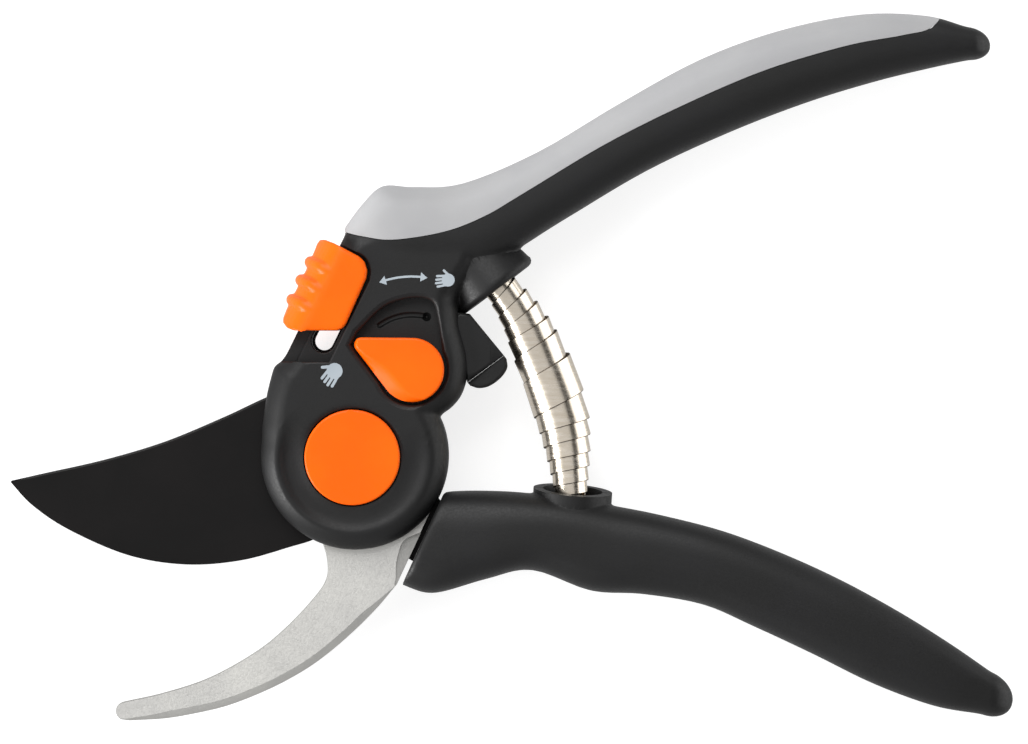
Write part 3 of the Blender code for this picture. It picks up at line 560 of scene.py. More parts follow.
def makeUpperSide():
    blank = upperBlank()
    rear = copyOf(blank, "rearHousing")
    grip = copyOf(blank, "gripInlay")
    front = blank
    front.name = "frontHousing"
    travelEnd = slider["pinLocked"] + slider["travel"] * slider["way"]
    pinSlot = slotOutline(slider["pinLocked"], travelEnd, slider["slotRadius"])
    coverSlot = slotOutline(slider["pinLocked"], travelEnd, slider["slotRadius"] + slider["coverPlay"])
    hookPocket = plate("hookPocket", offsetOutline(hookOutline(2), gap),
                       ((8.0, 0.0), (hookHigh + gap, 0.0)))
    capWell = arcPoints(pivotCap["radius"] + gap, 0, 360 * 95 / 96, 95)
    bore, mouth = seat["bore"], seat["bore"] + seat["upperFlare"]
    seatBore = (upperHandle["collarCentre"], upperHandle["collarAxis"],
                ((bore, -seat["depth"]), (bore, -0.6), (mouth, 0.05), (mouth, 2.0)))
    carve(front, halfSpace("frontHalf", midPlane + gap / 2, 25), operation="INTERSECT")
    carve(front, gripSpace("gripVoid", -0.06, upperHandle["gripRebate"]), hookPocket)
    carve(front, flared("frontChannel", channelOutline(), slider["floorFront"], frontFace, 0.35))
    carve(front, flared("selectorPocket", pocketOutline(), selector["floor"], frontFace, 1.1))
    carve(front, flared("capWell", capWell, pivotCap["wellFloor"], frontFace, 0.35))
    grooveEdge = ((-0.62, 0.12), (-0.5, 0.3), (-0.25, 0.47), (-0.05, 0.58), (0.0, 0.68), (1.0, 0.68))
    carve(front, stackRings("pocketGroove", [[(*spot, selector["floor"] + level)
                                              for spot in grooveLine(half)] for level, half in grooveEdge]))
    carve(front, turned("detentDimple", selector["dimple"], ((0.2, 13.2), (0.85, 14.0), (0.95, 15.0)), 32))
    carve(front, flared("coverSlot", coverSlot, 5.0, slider["floorFront"], 0.3))
    # beside the slot a ridge runs up the channel, and the rail outside it lies lower
    way, floor = slider["way"], slider["floorFront"]
    left, ridge = Vector((-way.y, way.x)), Vector((-11.1, 19.05))
    strip = [ridge, ridge + 19 * way, ridge + 19 * way + left * 5, ridge + left * 5 - way * 2.4]
    carve(front, plate("railStep", strip, ((floor - 1.5, 0.2), (floor - 1.2, 0.0), (floor - 0.25, 0.0),
                                           (floor, -0.25), (17.0, -0.25))))
    carve(front, lyingTurned("collarBore", *seatBore))

    carve(rear, halfSpace("rearHalf", -5, midPlane - gap / 2), operation="INTERSECT")
    swept = plate("bladeSweep", sweptOutline(), ((bladeLow - gap, 0.0), (12.0, 0.0)))
    carve(rear, gripSpace("rearGripVoid", -0.06, upperHandle["gripRebate"]), swept)
    carve(rear, plate("rearChannel", channelOutline(), ((-3.0, 0.0), (slider["floorRear"], 0.0))))
    carve(rear, turned("rearWell", (0, 0), ((8.4, -2.0), (8.4, rearFace), (8.0, rearFace + 0.5),
                                            (8.0, 3.3)), 96))
    carve(rear, turned("rearBoltHole", (0, 0), ((3.8, 2.0), (3.8, 12.0)), 48))
    carve(rear, plate("rearPinSlot", pinSlot, ((-2.0, 0.0), (12.0, 0.0))),
          lyingTurned("rearCollarBore", *seatBore))
    for k, (x, y, level) in enumerate(upperHandle["screws"]):
        carve(rear, screwPocket(f"upperScrewPocket{k}", (x, y), level))

    carve(grip, gripSpace("gripRoom", 0.06, upperHandle["gripThickness"]), operation="INTERSECT")
    finishPiece(front, "upper", "black_nylon", blackNylon, "front_housing")
    finishPiece(rear, "upper", "black_nylon", blackNylon, "rear_housing")
    finishPiece(grip, "upper", "grey_grip", greyGrip, "grip_inlay", sharpAngle=60)
    print("upper housing and grip made")


screwHead = {"radius": 2.6, "height": 2.0, "edge": 0.5, "cross": (1.5, 0.28), "shank": 1.4, "play": 0.25}


def screwPocket(name, place, level):
    wide, narrow = screwHead["radius"] + screwHead["play"], screwHead["shank"] + gap
    return turned(name, place, ((wide, -2.0), (wide, level), (narrow, level + 0.05), (narrow, 13.0)), 40)


# the two blades

blade = {
    "spine": ((-12.0, 13.4), (-17.2, 12.0), (-25.6, 8.1), (-37.6, 3.1), (-49.6, -0.5), (-61.6, -3.2),
              (-68.3, -4.72)),
    "edge": ((-68.5, -5.02), (-64.2, -9.6), (-56.9, -14.5), (-45.1, -19.6), (-33.6, -21.5),
             (-22.5, -20.7), (-12.6, -18.0), (-7.4, -16.2), (-5.2, -13.1)),
    "tangTop": ((13.9, -2.2), (15.7, -6.2), (19.0, -9.9), (26.0, -11.6), (34.0, -14.6), (46.0, -16.2),
                (58.0, -17.6)),
    "tangBottom": ((59.0, -21.6), (46.0, -21.2), (34.0, -18.6), (24.0, -20.6), (15.0, -22.0),
                   (5.0, -16.6)),
    "bevel": 5.0, "spineChamfer": 0.42, "chamferDepth": 0.2, "boss": 14.0, "finger": 25.8,
}
hook = {
    "inner": ((-6.4, -16.0), (-5.2, -20.2), (-5.3, -24.2), (-7.9, -28.2), (-13.6, -34.2),
              (-19.6, -39.0), (-28.6, -44.0), (-37.6, -47.0), (-45.6, -48.8)),
    "outer": ((-44.6, -52.6), (-37.6, -52.2), (-31.6, -51.2), (-25.6, -49.8), (-19.6, -47.6),
              (-13.6, -44.8), (-7.6, -41.2), (-1.6, -36.4), (4.4, -30.6), (8.8, -25.4)),
    "tangRight": ((15.6, 4.0), (17.2, 12.0), (17.6, 22.0), (18.6, 33.0), (25.4, 42.6), (45.0, 53.6)),
    "tangLeft": ((42.5, 57.0), (26.0, 48.0), (12.0, 40.5), (3.0, 30.0), (-1.0, 19.0), (-9.5, 13.0)),
    "chamfer": 1.5,
}


def lockFinger():
    seatSpot = slider["pinLocked"].copy()
    seatSpot.rotate(Matrix.Rotation(math.radians(-40), 2))
    opening = math.degrees(math.atan2(slider["way"].y, slider["way"].x)) - 40
    bite = arcPoints(slider["slotRadius"] + 0.1, opening - 110, opening - 270, 16, seatSpot)
    tooth = [polar(14.0, 39.5), polar(15.6, 40.5), polar(15.6, 45), polar(14.0, 46.5)]
    root = [polar(14.0, 60), polar(17.0, 63.5), polar(20.0, 64.5)]
    back = [polar(24.0, 74.5), polar(18.0, 78.0), polar(14.0, 86.0)]
    return [*tooth, *root, *bite, *arcPoints(blade["finger"], 67.5, 73.5, 5), *back]


def bladeRing(level, edgeInset, spineInset):
    # the edge is drawn back by the ground bevel, the spine by its fine chamfer
    spine, edge = smoothLine(blade["spine"], 8), smoothLine(blade["edge"], 8)

    def drawnBack(line, inset, share):
        moved = []
        for k, spot in enumerate(line):
            ahead = (line[min(k + 1, len(line) - 1)] - line[max(k - 1, 0)]).normalized()
            moved.append(spot + Vector((-ahead.y, ahead.x)) * inset * share(k, len(line)))
        return moved

    def edgeShare(k, count):
        return min(1.0, 2.2 * k / count + 0.04, (count - 1 - k) / 6)

    def spineShare(k, count):
        return min(1.0, k / 4, 0.3 + (count - 1 - k) / 6)

    tang = [*reversed(smoothLine(blade["tangBottom"], 3)),
            *reversed(smoothLine(blade["tangTop"], 3)[1:])]
    outline = [*arcPoints(blade["boss"], -2, 38, 10), *lockFinger(),
               *arcPoints(blade["boss"], 94, 122, 6),
               *drawnBack(spine, spineInset, spineShare), *drawnBack(edge, edgeInset, edgeShare),
               *arcPoints(blade["boss"], 252, 286, 8)[1:], *tang]
    return [(spot.x, spot.y, level) for spot in outline]


def makeBlade():
    bevel, chamfer, deep = blade["bevel"], blade["spineChamfer"], blade["chamferDepth"]
    hollow = ((0.0, 1.0), (0.35, 0.8), (0.8, 0.58), (1.3, 0.38), (1.9, 0.2), (2.45, 0.04), (2.62, 0.0))
    rings = [bladeRing(bladeLow + height, bevel * share, max(0.0, chamfer - height))
             for height, share in hollow]
    rings.append(bladeRing(bladeHigh - deep, 0.0, 0.0))
    rings.append(bladeRing(bladeHigh - 0.03, 0.0, chamfer - 0.06))
    rings.append(bladeRing(bladeHigh, 0.1, chamfer))
    piece = stackRings("cuttingBlade", rings)
    carve(piece, turned("bushHole", (0, 0), ((5.0, 4.0), (5.0, 12.0)), 64))
    finishPiece(piece, "lower", "coated_steel", coatedSteel, "cutting_blade", sharpAngle=20)
    print("cutting blade made")


def hookOutline(perSpan):
    inner, outer = smoothLine(hook["inner"], perSpan), smoothLine(hook["outer"], perSpan)
    tip = arcPoints(1.85, 95, 262, 10, (-45.5, -50.7))
    return [*inner, *tip[1:-1], *outer, Vector((16.95, -7.9)), *arcPoints(18.0, -22, 6, 8)[1:],
            *smoothLine(hook["tangRight"], 3), *smoothLine(hook["tangLeft"], 3),
            *arcPoints(16.2, 144, 246, 20)]


def makeHook():
    # the outer curve carries a broad chamfer on both faces, the inner edge only a broken corner
    perSpan = 8
    outline = hookOutline(perSpan)
    innerCount = perSpan * (len(hook["inner"]) - 1) + 1
    outerStart = innerCount + 9
    outerCount = perSpan * (len(hook["outer"]) - 1) + 1
    full = offsetOutline(outline, -hook["chamfer"])

    def ring(level, share):
        spots = []
        for k, (spot, inside) in enumerate(zip(outline, full)):
            along = k - outerStart
            if 0 <= along < outerCount:
                reach = share * min(1.0, 0.3 + along / 14, (outerCount - 1 - along) / 10)
            else:
                reach = share * 0.12
            spots.append((*spot.lerp(inside, reach), level))
        return spots

    steps = ((0.0, 1.0), (0.35, 0.55), (0.7, 0.2), (1.0, 0.03), (1.15, 0.0))
    rings = [ring(hookLow + height * 0.7, share * 0.6) for height, share in steps]
    rings += [ring(hookHigh - height, share) for height, share in reversed(steps)]
    piece = stackRings("hookBlade", rings)
    # a milled step, sloping away, where the hook passes the lower handle
    step = [Vector(p) for p in ((14.6, -14.6), (18.0, -8.0), (24.0, -22.0), (10.0, -28.0), (8.3, -25.6))]
    step += smoothLine(((8.6, -24.0), (8.7, -21.0), (9.6, -17.6), (10.8, -16.1)), 5)
    floor = [(*spot, hookHigh - 0.45 - 0.15 * (spot.x - 8.5)) for spot in step]
    carve(piece, stackRings("heelStep", [floor, [(*spot, hookHigh + 2) for spot in step]]))
    carve(piece, turned("boltHole", (0, 0), ((3.8, 8.0), (3.8, 14.0)), 64))
    finishPiece(piece, "upper", "satin_steel", blastedSteel, "hook_blade", sharpAngle=24)
    print("hook made")


makeUpperSide()
makeBlade()
makeHook()


# the lower handle

lowerHandle = {
    "stations": (
        ((18.3, -6.9), (9.8, -25.6), 8.9), ((24.5, -6.7), (16.2, -27.2), 9.1),
        ((33.0, -7.0), (26.6, -24.4), 9.25), ((43.0, -8.2), (35.8, -22.6), 9.25),
        ((53.0, -9.9), (47.5, -26.7), 9.25), ((62.0, -11.7), (58.0, -27.4), 9.25),
        ((74.0, -14.8), (70.0, -29.5), 9.25), ((86.0, -19.3), (80.0, -33.8), 9.1),
        ((98.0, -24.8), (92.0, -39.4), 8.8), ((110.0, -31.4), (104.0, -45.3), 8.2),
        ((120.0, -37.7), (116.0, -49.7), 7.4), ((127.5, -42.9), (125.5, -51.4), 6.4),
    ),
    "tip": 5.8, "cupCentre": (44.0, -6.1), "cupAxis": (0.06, 0.998),
    "voxel": 0.5, "smoothing": 3,
    "screws": ((28.0, -16.2, 3.4), (66.0, -21.0, 3.4), (98.0, -34.2, 3.6)),
}


def cupSolid(name, grow=0.0):
    # the front lip is cut lower than the back one, so the spring's foot shows
    profile = ((6.0, -11.0), (7.4, -8.0), (7.8, -4.5), (7.9, -3.2), (7.9, 3.0))
    cup = lyingTurned(name, lowerHandle["cupCentre"], lowerHandle["cupAxis"],
                      [(radius - grow, distance - grow) for radius, distance in profile], 96)
    pick(cup)
    bpy.ops.object.mode_set(mode="EDIT")
    bpy.ops.mesh.select_all(action="SELECT")
    rimSpot = Vector((*lowerHandle["cupCentre"], midPlane - 7.9)) * mm
    rimSpot.y += 0.6 * mm
    bpy.ops.mesh.bisect(plane_co=rimSpot, plane_no=(0.08, 0.985, 0.14), use_fill=True, clear_outer=True)
    bpy.ops.object.mode_set(mode="OBJECT")
    rim = max(cup.data.polygons, key=lambda face: face.center.y).index
    bevelFaces(cup, lambda face: face.index == rim, offset=0.6 * mm, segments=5)
    return cup


def makeLowerSide():
    front = handleBlank("lowerHandleFront", lowerHandle["stations"], lowerHandle["tip"], frontRound=0.8)
    carve(front, cupSolid("cupRoot", 0.35), operation="UNION")
    mould(front, lowerHandle["voxel"], lowerHandle["smoothing"])
    carve(front, cupSolid("cup"), operation="UNION")
    bore = seat["bore"]
    profile = ((bore, -seat["depth"]), (bore, -1.2), (bore + seat["lowerFlare"], 2.0))
    carve(front, lyingTurned("cupBore", lowerHandle["cupCentre"], lowerHandle["cupAxis"], profile, 96))
    rear = copyOf(front, "lowerHandleRear")
    carve(front, halfSpace("lowerFrontHalf", midPlane + gap / 2, 25), operation="INTERSECT")
    carve(rear, halfSpace("lowerRearHalf", -5, midPlane - gap / 2), operation="INTERSECT")
    room = [Vector(spot[:2]) for spot in bladeRing(0, 0, 0)]
    carve(rear, plate("tangRoom", offsetOutline(room, gap), ((bladeLow - gap, 0.0), (12.0, 0.0))))
    for k, (x, y, level) in enumerate(lowerHandle["screws"]):
        carve(rear, screwPocket(f"lowerScrewPocket{k}", (x, y), level))
    finishPiece(front, "lower", "black_nylon", blackNylon, "lower_handle_front")
    finishPiece(rear, "lower", "black_nylon", blackNylon, "lower_handle_rear")
    print("lower handle made")


makeLowerSide()


# the return spring: one flat strip wound as two cones that overlap like a telescope

spring = {
    "line": ((43.6, -9.9), (43.5, -5.6), (43.0, 1.0), (41.9, 8.0), (40.2, 13.2), (38.5, 17.6),
             (36.7, 22.0), (34.3, 27.2), (31.2, 31.8), (26.9, 36.9)),
    "middleHeight": 15.0, "strip": 7.6, "thickness": 0.22, "edgeWidth": 0.13, "flare": 0.14, "steps": 48,
    # where each turn's middle lies along the line from the widest turn, and the radius it has there
    "turns": (-21.0, -18.9, -16.6, -13.8, -11.1, -7.9, -4.9, 0.0, 5.2, 8.1, 11.3, 14.3, 17.3, 20.3),
    "radii": ((0, 2.9), (2, 3.58), (4.7, 4.72), (6, 5.22), (6.5, 5.45), (7, 5.7), (7.5, 5.12), (8, 5.0),
              (9, 4.6), (13, 2.95)),
}


def between(pairs, value):
    for (x0, y0), (x1, y1) in zip(pairs, pairs[1:]):
        if value <= x1:
            return y0 + (y1 - y0) * (value - x0) / (x1 - x0)
    return pairs[-1][1]


def makeSpring():
    line = smoothLine(spring["line"], 16)
    ways = [(line[min(k + 1, len(line) - 1)] - line[max(k - 1, 0)]).normalized()
            for k in range(len(line))]
    lengths = [0.0]
    for start, finish in zip(line, line[1:]):
        lengths.append(lengths[-1] + (finish - start).length)
    middle = next(length for length, spot in zip(lengths, line) if spot.y > spring["middleHeight"])

    def spotAt(distance):
        k = max(i for i, length in enumerate(lengths[:-1]) if length <= max(0.0, distance))
        share = (distance - lengths[k]) / (lengths[k + 1] - lengths[k])
        return line[k].lerp(line[k + 1], share), ways[k].lerp(ways[k + 1], share).normalized()

    places = list(enumerate(spring["turns"]))
    half, thick, edge, seamShadeWidth = spring["strip"] / 2, spring["thickness"], 0.05, spring["edgeWidth"]
    section = ((-half, edge), (seamShadeWidth - half, 0.0), (half - seamShadeWidth, 0.0), (half, edge), (half, thick - edge),
               (half - edge, thick), (edge - half, thick), (-half, thick - edge))
    rings = []
    for step in range((len(places) - 1) * spring["steps"] + 1):
        turn = step / spring["steps"]
        angle = 2 * math.pi * turn + math.pi
        radius = between(spring["radii"], turn)
        flare = spring["flare"] * max(-1.0, min(1.0, (turn - 7) * 2))  # open edges stand out a little
        ring = []
        for side, depth in section:
            centre, way = spotAt(middle + between(places, turn) + side)
            out = Vector((-way.y, way.x, 0)) * math.cos(angle) + Vector((0, 0, 1)) * math.sin(angle)
            ring.append(Vector((*centre, midPlane)) + out * (radius - depth + flare * side / half))
        rings.append(ring)
    piece = stackRings("returnSpring", rings)
    finishPiece(piece, "upper", "nickel_spring", springSteel, "return_spring")
    piece.data.materials.append(paintedSeamShade)
    # the narrow edge faces and chamfers take the painted seam shade, a dark line standing in for the shadow
    # between turns
    for face in piece.data.polygons:
        face.material_index = int(face.area < 0.5 * mm * mm)  # the narrow faces along the strip's edges
    piece.parent = None
    del piece["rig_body"]
    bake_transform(piece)
    print("return spring made")


makeSpring()


# the thumb slider, the selector lever, the caps and the bumper

thumb = {
    "plan": ((-11.8, 25.3), (-3.0, 25.3), (-1.9, 25.7), (-1.2, 26.6), (2.8, 35.6), (3.05, 37.1),
             (2.5, 38.9), (1.4, 40.0), (-3.5, 42.6), (-5.5, 43.4), (-6.6, 43.4), (-7.2, 42.6),
             (-7.9, 40.6), (-9.4, 37.2), (-11.2, 33.6), (-13.1, 29.8), (-13.9, 27.8), (-13.9, 26.9),
             (-13.0, 25.8)),
    "low": 0.1, "high": 18.9, "roll": 6.0, "corner": 0.7,
    "ribs": ((-9.6, 39.5), (-11.45, 35.9), (-13.25, 32.0)), "ribReach": 5.8, "ribHalf": 1.2,
}


def makeSlider():
    plan = [Vector(p) for p in thumb["plan"]]
    outline = []
    for k, spot in enumerate(plan):
        outline += [spot.lerp(plan[(k + 1) % len(plan)], t / 3) for t in range(3)]
    left = Vector((-slider["way"].y, slider["way"].x))
    middle, half = (thumb["low"] + thumb["high"]) / 2, (thumb["high"] - thumb["low"]) / 2
    most = max(left.dot(spot) for spot in outline)
    small = offsetOutline(outline, -1.0)

    def ring(share):
        # the thumb side is one big round, the other edges have small corners
        rolled = thumb["roll"] * (1 - math.sqrt(max(0.0, 1 - share * share)))
        deep = max(0.0, 1 - half * (1 - abs(share)) / thumb["corner"])
        pulled = thumb["corner"] * (1 - math.sqrt(max(0.0, 1 - deep * deep)))
        spots = []
        for spot, inside in zip(outline, small):
            spot = spot + (inside - spot).normalized() * pulled
            over = left.dot(spot) - (most - rolled)
            near = max(0.0, over) * min(1.0, max(0.0, over) / 0.8 + 0.2)
            spots.append((*(spot - left * min(max(0.0, over), near)), middle + half * share))
        return spots

    shares = (0.0, 0.3, 0.5, 0.65, 0.76, 0.85, 0.91, 0.95, 0.975, 0.99, 1.0)
    shares = (*[-share for share in reversed(shares)], *shares[1:])
    piece = stackRings("lockSlider", [ring(share) for share in shares])
    for k, spot in enumerate(thumb["ribs"]):
        # each rib is a round-ended bar that follows the thumb side from face to face
        rings = []
        for share in shares:
            level = (half - 0.1) * share
            deep = max(0.0, 1 - (half - 0.1 - abs(level)) / thumb["ribHalf"])
            radius = thumb["ribHalf"] * max(0.06, math.sqrt(1 - deep * deep))
            rolled = thumb["roll"] * (1 - math.sqrt(max(0.0, 1 - share * share)))
            reach = min(thumb["ribReach"] - 0.1, thumb["ribHalf"] + rolled * 0.86)
            outer, inner = Vector(spot) - left * reach, Vector(spot) - left * thumb["ribReach"]
            rings.append([(*point, middle + level) for point in slotOutline(inner, outer, radius)])
        carve(piece, stackRings(f"rib{k}", rings), operation="UNION")
    mould(piece, 0.25, 4)
    railLeft = Vector((-13.2, 20.5)) + left * 0.45
    far = 40 * slider["way"]
    inside = [railLeft - far, Vector((30.0, -20.0)), Vector((40.0, 60.0)), railLeft + far]
    carve(piece, plate("sliderCore", inside, ((slider["floorRear"] - gap, 0.0),
                                              (slider["floorFront"] + gap, 0.0))))
    finishPiece(piece, "lock", "orange_nylon", orangeNylon, "lock_slider", sharpAngle=50)
    print("lock slider made")


lever = {"foot": 17.5, "top": 18.85, "rim": 0.5, "facetWidth": 2.6, "facetWay": Vector((0.80, 0.60))}


def makeLever():
    # a teardrop with a raised flat field, and a straight facet where the finger pushes
    axis, tip, wide, narrow = (selector[key] for key in ("axis", "tip", "round", "tipRadius"))
    toTip = tip - axis
    way = math.degrees(math.atan2(toTip.y, toTip.x))
    lean = math.degrees(math.acos((wide - narrow) / toTip.length))
    low, high = way + 360 - lean, way + lean

    def flank(angle, shares):
        start, finish = polar(wide, angle, axis), polar(narrow, angle, tip)
        return [start.lerp(finish, share) for share in shares]

    plan = [*arcPoints(wide, high, low, 64, axis), *flank(low, (0.2, 0.4, 0.6, 0.8)),
            *arcPoints(narrow, way - lean, high, 16, tip), *flank(high, (0.8, 0.6, 0.4, 0.2))]
    base, foot, top, rim = selector["floor"] + gap, lever["foot"], lever["top"], lever["rim"]
    levels = [(base, 0.1), (base + 0.2, 0.0), (foot, 0.0)]
    levels += [(top - rim - 0.6 * (1 - t), 0.0) for t in (0.33, 0.66)]
    levels += [(top - rim + rim * math.sin(math.radians(a)), rim * (1 - math.cos(math.radians(a))))
               for a in (0, 18, 36, 54, 72, 90)]
    small = offsetOutline(plan, -1.0)
    rings = []
    for level, rolled in levels:
        climb = max(0.0, (level - foot) / (top - foot))
        ring = []
        for spot, inside in zip(plan, small):
            inward = (inside - spot).normalized()
            slope = lever["facetWidth"] * max(0.0, inward.dot(lever["facetWay"]) - 0.25) / 0.75
            room = 0.35 + 0.42 * max(0.0, (spot - tip).length - narrow)  # the facet runs out at the tip
            ring.append((*(spot + inward * (rolled + climb * min(room, slope))), level))
        rings.append(ring)
    piece = stackRings("selectorLever", rings)
    finishPiece(piece, "selector", "orange_nylon", orangeNylon, "selector_lever", sharpAngle=50)
    print("selector lever made")


def makeCaps():
    clearSelection()
    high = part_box("pivot_cap")[1]
    bpy.ops.mesh.primitive_cylinder_add(vertices=128, radius=pivotCap["radius"] * mm,
                                        depth=pivotCap["thickness"] * mm,
                                        location=(0, 0, high.z - 0.7 * mm))
    cap = bpy.context.object
    cap.name = "pivotCap"
    bpy.ops.object.transform_apply(location=True, rotation=False, scale=False)
    bevelFaces(cap, lambda face: face.normal.z > 0.9, offset=pivotCap["rim"] * mm, segments=6, profile=0.6)
    finishPiece(cap, "upper", "orange_nylon", orangeNylon, "pivot_cap")
    profile = ((4.6, 0.55), (5.0, 0.5), (5.2, 0.05), (5.4, 0.0), (6.8, 0.0), (7.3, 0.12), (7.55, 0.4),
               (7.6, 0.7))
    rearCap = turned("rearCap", (0, 0), profile, 96)
    finishPiece(rearCap, "upper", "black_nylon", blackNylon, "rear_cap")
    print("caps made")


bumper = {
    "left": Vector((22.9, 14.9)), "right": Vector((30.2, 20.3)), "depth": 3.2, "halfHeight": 5.2,
    "block": ((23.4, 28.6), (20.6, 29.0), (20.4, 26.0), (21.6, 21.2), (22.3, 17.2)),
}


def makeBumper():
    left, right = bumper["left"], bumper["right"]
    seam = (right - left).normalized()
    down = Vector((seam.y, -seam.x))
    low, high = midPlane - bumper["halfHeight"], midPlane + bumper["halfHeight"]
    edge = ((low, 0.7), (low + 0.25, 0.3), (low + 0.7, 0.0), (high - 0.7, 0.0), (high - 0.25, 0.3),
            (high, 0.7))
    block = [Vector(p) for p in bumper["block"]] + [left - down * 0.03, right - down * 0.03]
    dense = []
    for k, spot in enumerate(block):
        dense += [spot.lerp(block[(k + 1) % len(block)], t / 3) for t in range(3)]
    finishPiece(plate("bumperBlock", dense, edge), "upper", "black_nylon", blackNylon, "bumper_block")
    depth = bumper["depth"]
    rounded = smoothLine([*[left + down * deep + seam * along for deep, along in
                            ((0.9, 0.1), (2.3, 1.2), (depth, 3.2), (depth, 6.0), (2.4, 8.1))],
                          right + down * 0.9], 8)
    pad = [left + down * 0.03, *rounded, right + down * 0.03]
    finishPiece(plate("bumperPad", pad, edge), "upper", "black_rubber", blackRubber, "bumper_pad")
    print("bumper made")


def makeScrews():
    # one pan head screw with a cross recess, copied to the six pockets from the rear
    clearSelection()
    high, reach, half = screwHead["height"], *screwHead["cross"]
    shank = screwHead["shank"]
    bpy.ops.mesh.primitive_cylinder_add(vertices=64, radius=screwHead["radius"] * mm, depth=high * mm,
                                        location=(0, 0, high / 2 * mm))
    first = bpy.context.object
    bpy.ops.object.transform_apply(location=True, rotation=False, scale=False)
    # the driven face looks to the rear
    bevelFaces(first, lambda face: face.normal.z < -0.9, offset=screwHead["edge"] * mm, segments=5)
    for turn in (0, 90):
        bar = [Vector(p) for p in ((-reach, -half), (reach, -half), (reach, half), (-reach, half))]
        for spot in bar:
            spot.rotate(Matrix.Rotation(math.radians(turn), 2))
        carve(first, plate("crossBar", bar, ((-0.5, 0.0), (0.1, 0.0), (1.2, 0.2))))
    carve(first, turned("shank", (0, 0), ((shank, high - 0.1), (shank, 11.0), (0.6, 12.0)), 32),
          operation="UNION")
    groups = (("upper", upperHandle["screws"]), ("lower", lowerHandle["screws"]))
    for body, places in groups:
        for k, (x, y, level) in enumerate(places):
            screw = copyOf(first, f"{body}Screw{k + 1}")
            screw.data.transform(Matrix.Translation(Vector((x, y, level - high - gap)) * mm))
            finishPiece(screw, body, "plated_steel", zincPlated, f"{body}_screw_{k + 1}")
    bpy.data.objects.remove(first)
    print("screws made")


makeSlider()
makeLever()
makeCaps()
makeBumper()
makeScrews()


# printed marks on the cover: a two-headed arrow, a small hand and a large hand

marks = {
    "level": frontFace - 0.1, "top": frontFace + 0.05,
    "arrowRadius": 18.6, "arrowFrom": 80.5, "arrowTo": 110.5, "arrowWidth": 0.36,
    "smallHand": ((19.1, 35.3), 187, 0.68), "largeHand": ((-3.5, 17.2), 236, 0.84),
}


def arrowOutline():
    centre, radius, width = selector["axis"], marks["arrowRadius"], marks["arrowWidth"]
    start, finish = marks["arrowFrom"], marks["arrowTo"]
    headTurn = 4.2

    def head(angle, sign):
        wings = [polar(radius + side * width * 2.6, angle, centre) for side in (sign, -sign)]
        return [wings[0], polar(radius, angle + sign * headTurn, centre), wings[1]]

    outside = arcPoints(radius + width * 0.6, start + headTurn, finish - headTurn, 20, centre)
    inside = arcPoints(radius - width * 0.6, finish - headTurn, start + headTurn, 20, centre)
    return [*outside, *head(finish - headTurn, 1), *inside, *head(start + headTurn, -1)]


def makeHand(name, spot, turn, size):
    # a plain pictogram: a palm, four fingers and a thumb
    parts = [[polar(1.9, 360 * k / 32) for k in range(32)]]
    for k in range(4):
        root = Vector((0.8, 1.35 - 0.9 * k))
        finger = Vector((2.9 - 0.35 * abs(k - 1.2), 0.12 * (1.5 - k)))
        parts.append(slotOutline(root, root + finger, 0.34, 8))
    parts.append(slotOutline(Vector((-0.4, -1.3)), Vector((0.9, -2.9)), 0.36, 8))
    piece = None
    for part in parts:
        placed = []
        for point in part:
            moved = point * size
            moved.rotate(Matrix.Rotation(math.radians(turn), 2))
            placed.append(moved + Vector(spot))
        solid = plate(name, placed, ((marks["level"], 0.0), (marks["top"], 0.0)))
        if piece is None:
            piece = solid
        else:
            carve(piece, solid, operation="UNION")
    piece.name = name
    finishPiece(piece, "upper", "grey_grip", printInk)


arrow = plate("arcArrowPrint", arrowOutline(), ((marks["level"], 0.0), (marks["top"], 0.0)))
finishPiece(arrow, "upper", "grey_grip", printInk)
makeHand("smallHandPrint", *marks["smallHand"])
makeHand("largeHandPrint", *marks["largeHand"])
print("marks made")

# the CAD pieces that stay as they are get their real finishes
keptFinishes = {
    "hook_dowel_1": blastedSteel, "hook_dowel_2": blastedSteel, "tang_pin_1": blastedSteel,
    "tang_pin_2": blastedSteel, "pivot_bolt": zincPlated, "pivot_nut": zincPlated,
    "wave_washer": zincPlated, "pivot_bush": bronze, "upper_spring_post": blackNylon,
    "lower_spring_post": blackNylon, "lock_pin": blastedSteel, "selector_shaft": blastedSteel,
}
for name, material in keptFinishes.items():
    node = frame["nodes"][name]
    node.data.materials.clear()
    node.data.materials.append(material)


# floor, light and camera

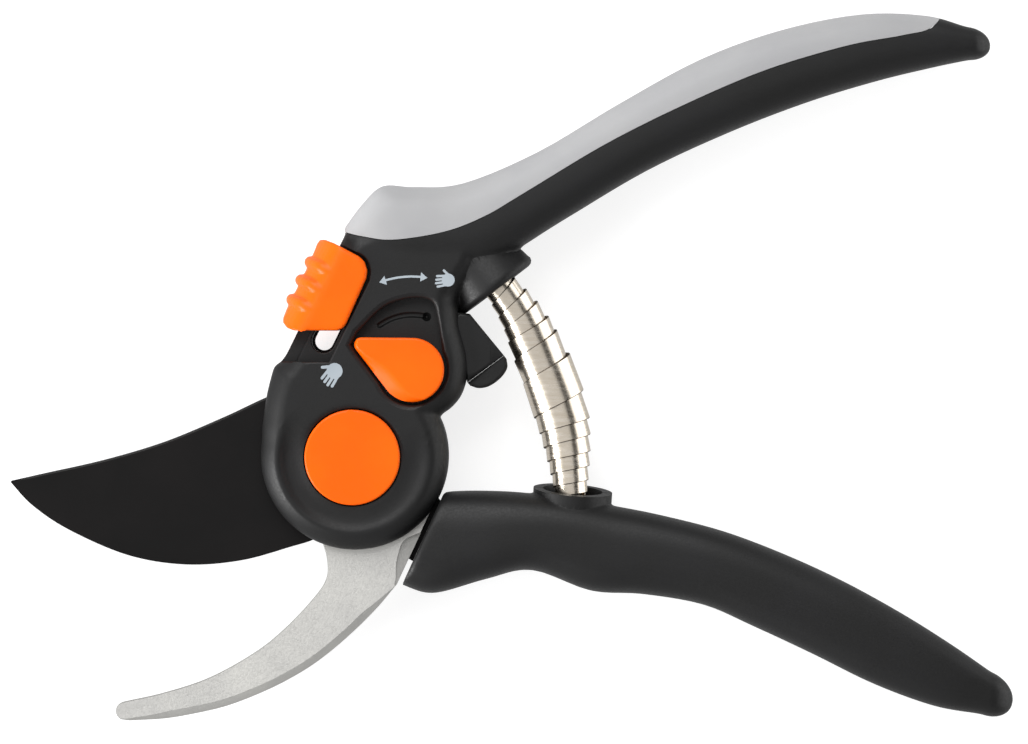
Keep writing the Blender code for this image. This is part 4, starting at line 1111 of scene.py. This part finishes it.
studio = {
    "centre": Vector((32.2, 17.0, midPlane)), "lens": 300.0, "sensor": 36.0, "seenWidth": 205.6,
    "floorColour": "#a2a2a2", "floorGlow": 0.8, "background": 0.52,
    # place from the middle in m, size in m, power in W
    "lights": (("leftSoftbox", (-0.78, -0.3, 0.32), 0.42, 8.5),
               ("topSoftbox", (-0.25, 0.72, 0.8), 0.8, 8.0), ("rightSoftbox", (0.8, 0.1, 0.1), 1.0, 4.0)),
    "card": (0.60, 0.0, 0.67), "cardSize": 0.55,
}


def makeStudio():
    clearSelection()
    bpy.ops.mesh.primitive_plane_add(size=6.0, location=(0, 0, -0.0002))
    floor = bpy.context.object
    floor.name = "floor"
    # an opal sheet lit from below, which keeps the shadows thin and stays out of the reflections
    floor.data.materials.append(newMaterial("opalLightTable", studio["floorColour"], 0.9,
                                            Emission_Strength=studio["floorGlow"],
                                            Emission_Color=(1.0, 1.0, 1.0, 1.0))[0])
    floor.visible_glossy = False
    world = bpy.data.worlds.new("studioAir")
    bpy.context.scene.world = world
    world.use_nodes = True
    world.node_tree.nodes["Background"].inputs[0].default_value = (1.0, 1.0, 1.0, 1.0)
    world.node_tree.nodes["Background"].inputs[1].default_value = studio["background"]
    centre = studio["centre"] * mm
    for name, offset, size, power in studio["lights"]:
        bpy.ops.object.light_add(type="AREA", location=centre + Vector(offset))
        light = bpy.context.object
        light.name = name
        light.data.size = size
        light.data.energy = power
        light.rotation_euler = (-Vector(offset)).to_track_quat("-Z", "Y").to_euler()
    # a black card gives the right-hand slopes and the spring their dark side; no camera sees it
    clearSelection()
    away = Vector(studio["card"])
    bpy.ops.mesh.primitive_plane_add(size=studio["cardSize"], location=centre + away,
                                     rotation=(-away).to_track_quat("-Z", "Y").to_euler())
    card = bpy.context.object
    card.name = "blackCard"
    bpy.ops.object.mode_set(mode="EDIT")
    bpy.ops.transform.resize(value=(1.0, 2.6, 1.0))
    bpy.ops.object.mode_set(mode="OBJECT")
    card.data.materials.append(newMaterial("blackCard", "#050505", 0.9)[0])
    card.visible_camera = False
    distance = studio["seenWidth"] * studio["lens"] / studio["sensor"]
    bpy.ops.object.camera_add(location=(studio["centre"] + Vector((0, 0, distance))) * mm,
                              rotation=(0, 0, 0))
    camera = bpy.context.object
    camera.data.lens = studio["lens"]
    camera.data.sensor_width = studio["sensor"]
    bpy.context.scene.camera = camera
    bpy.context.scene.view_settings.view_transform = "Standard"
    print("studio made")


makeStudio()
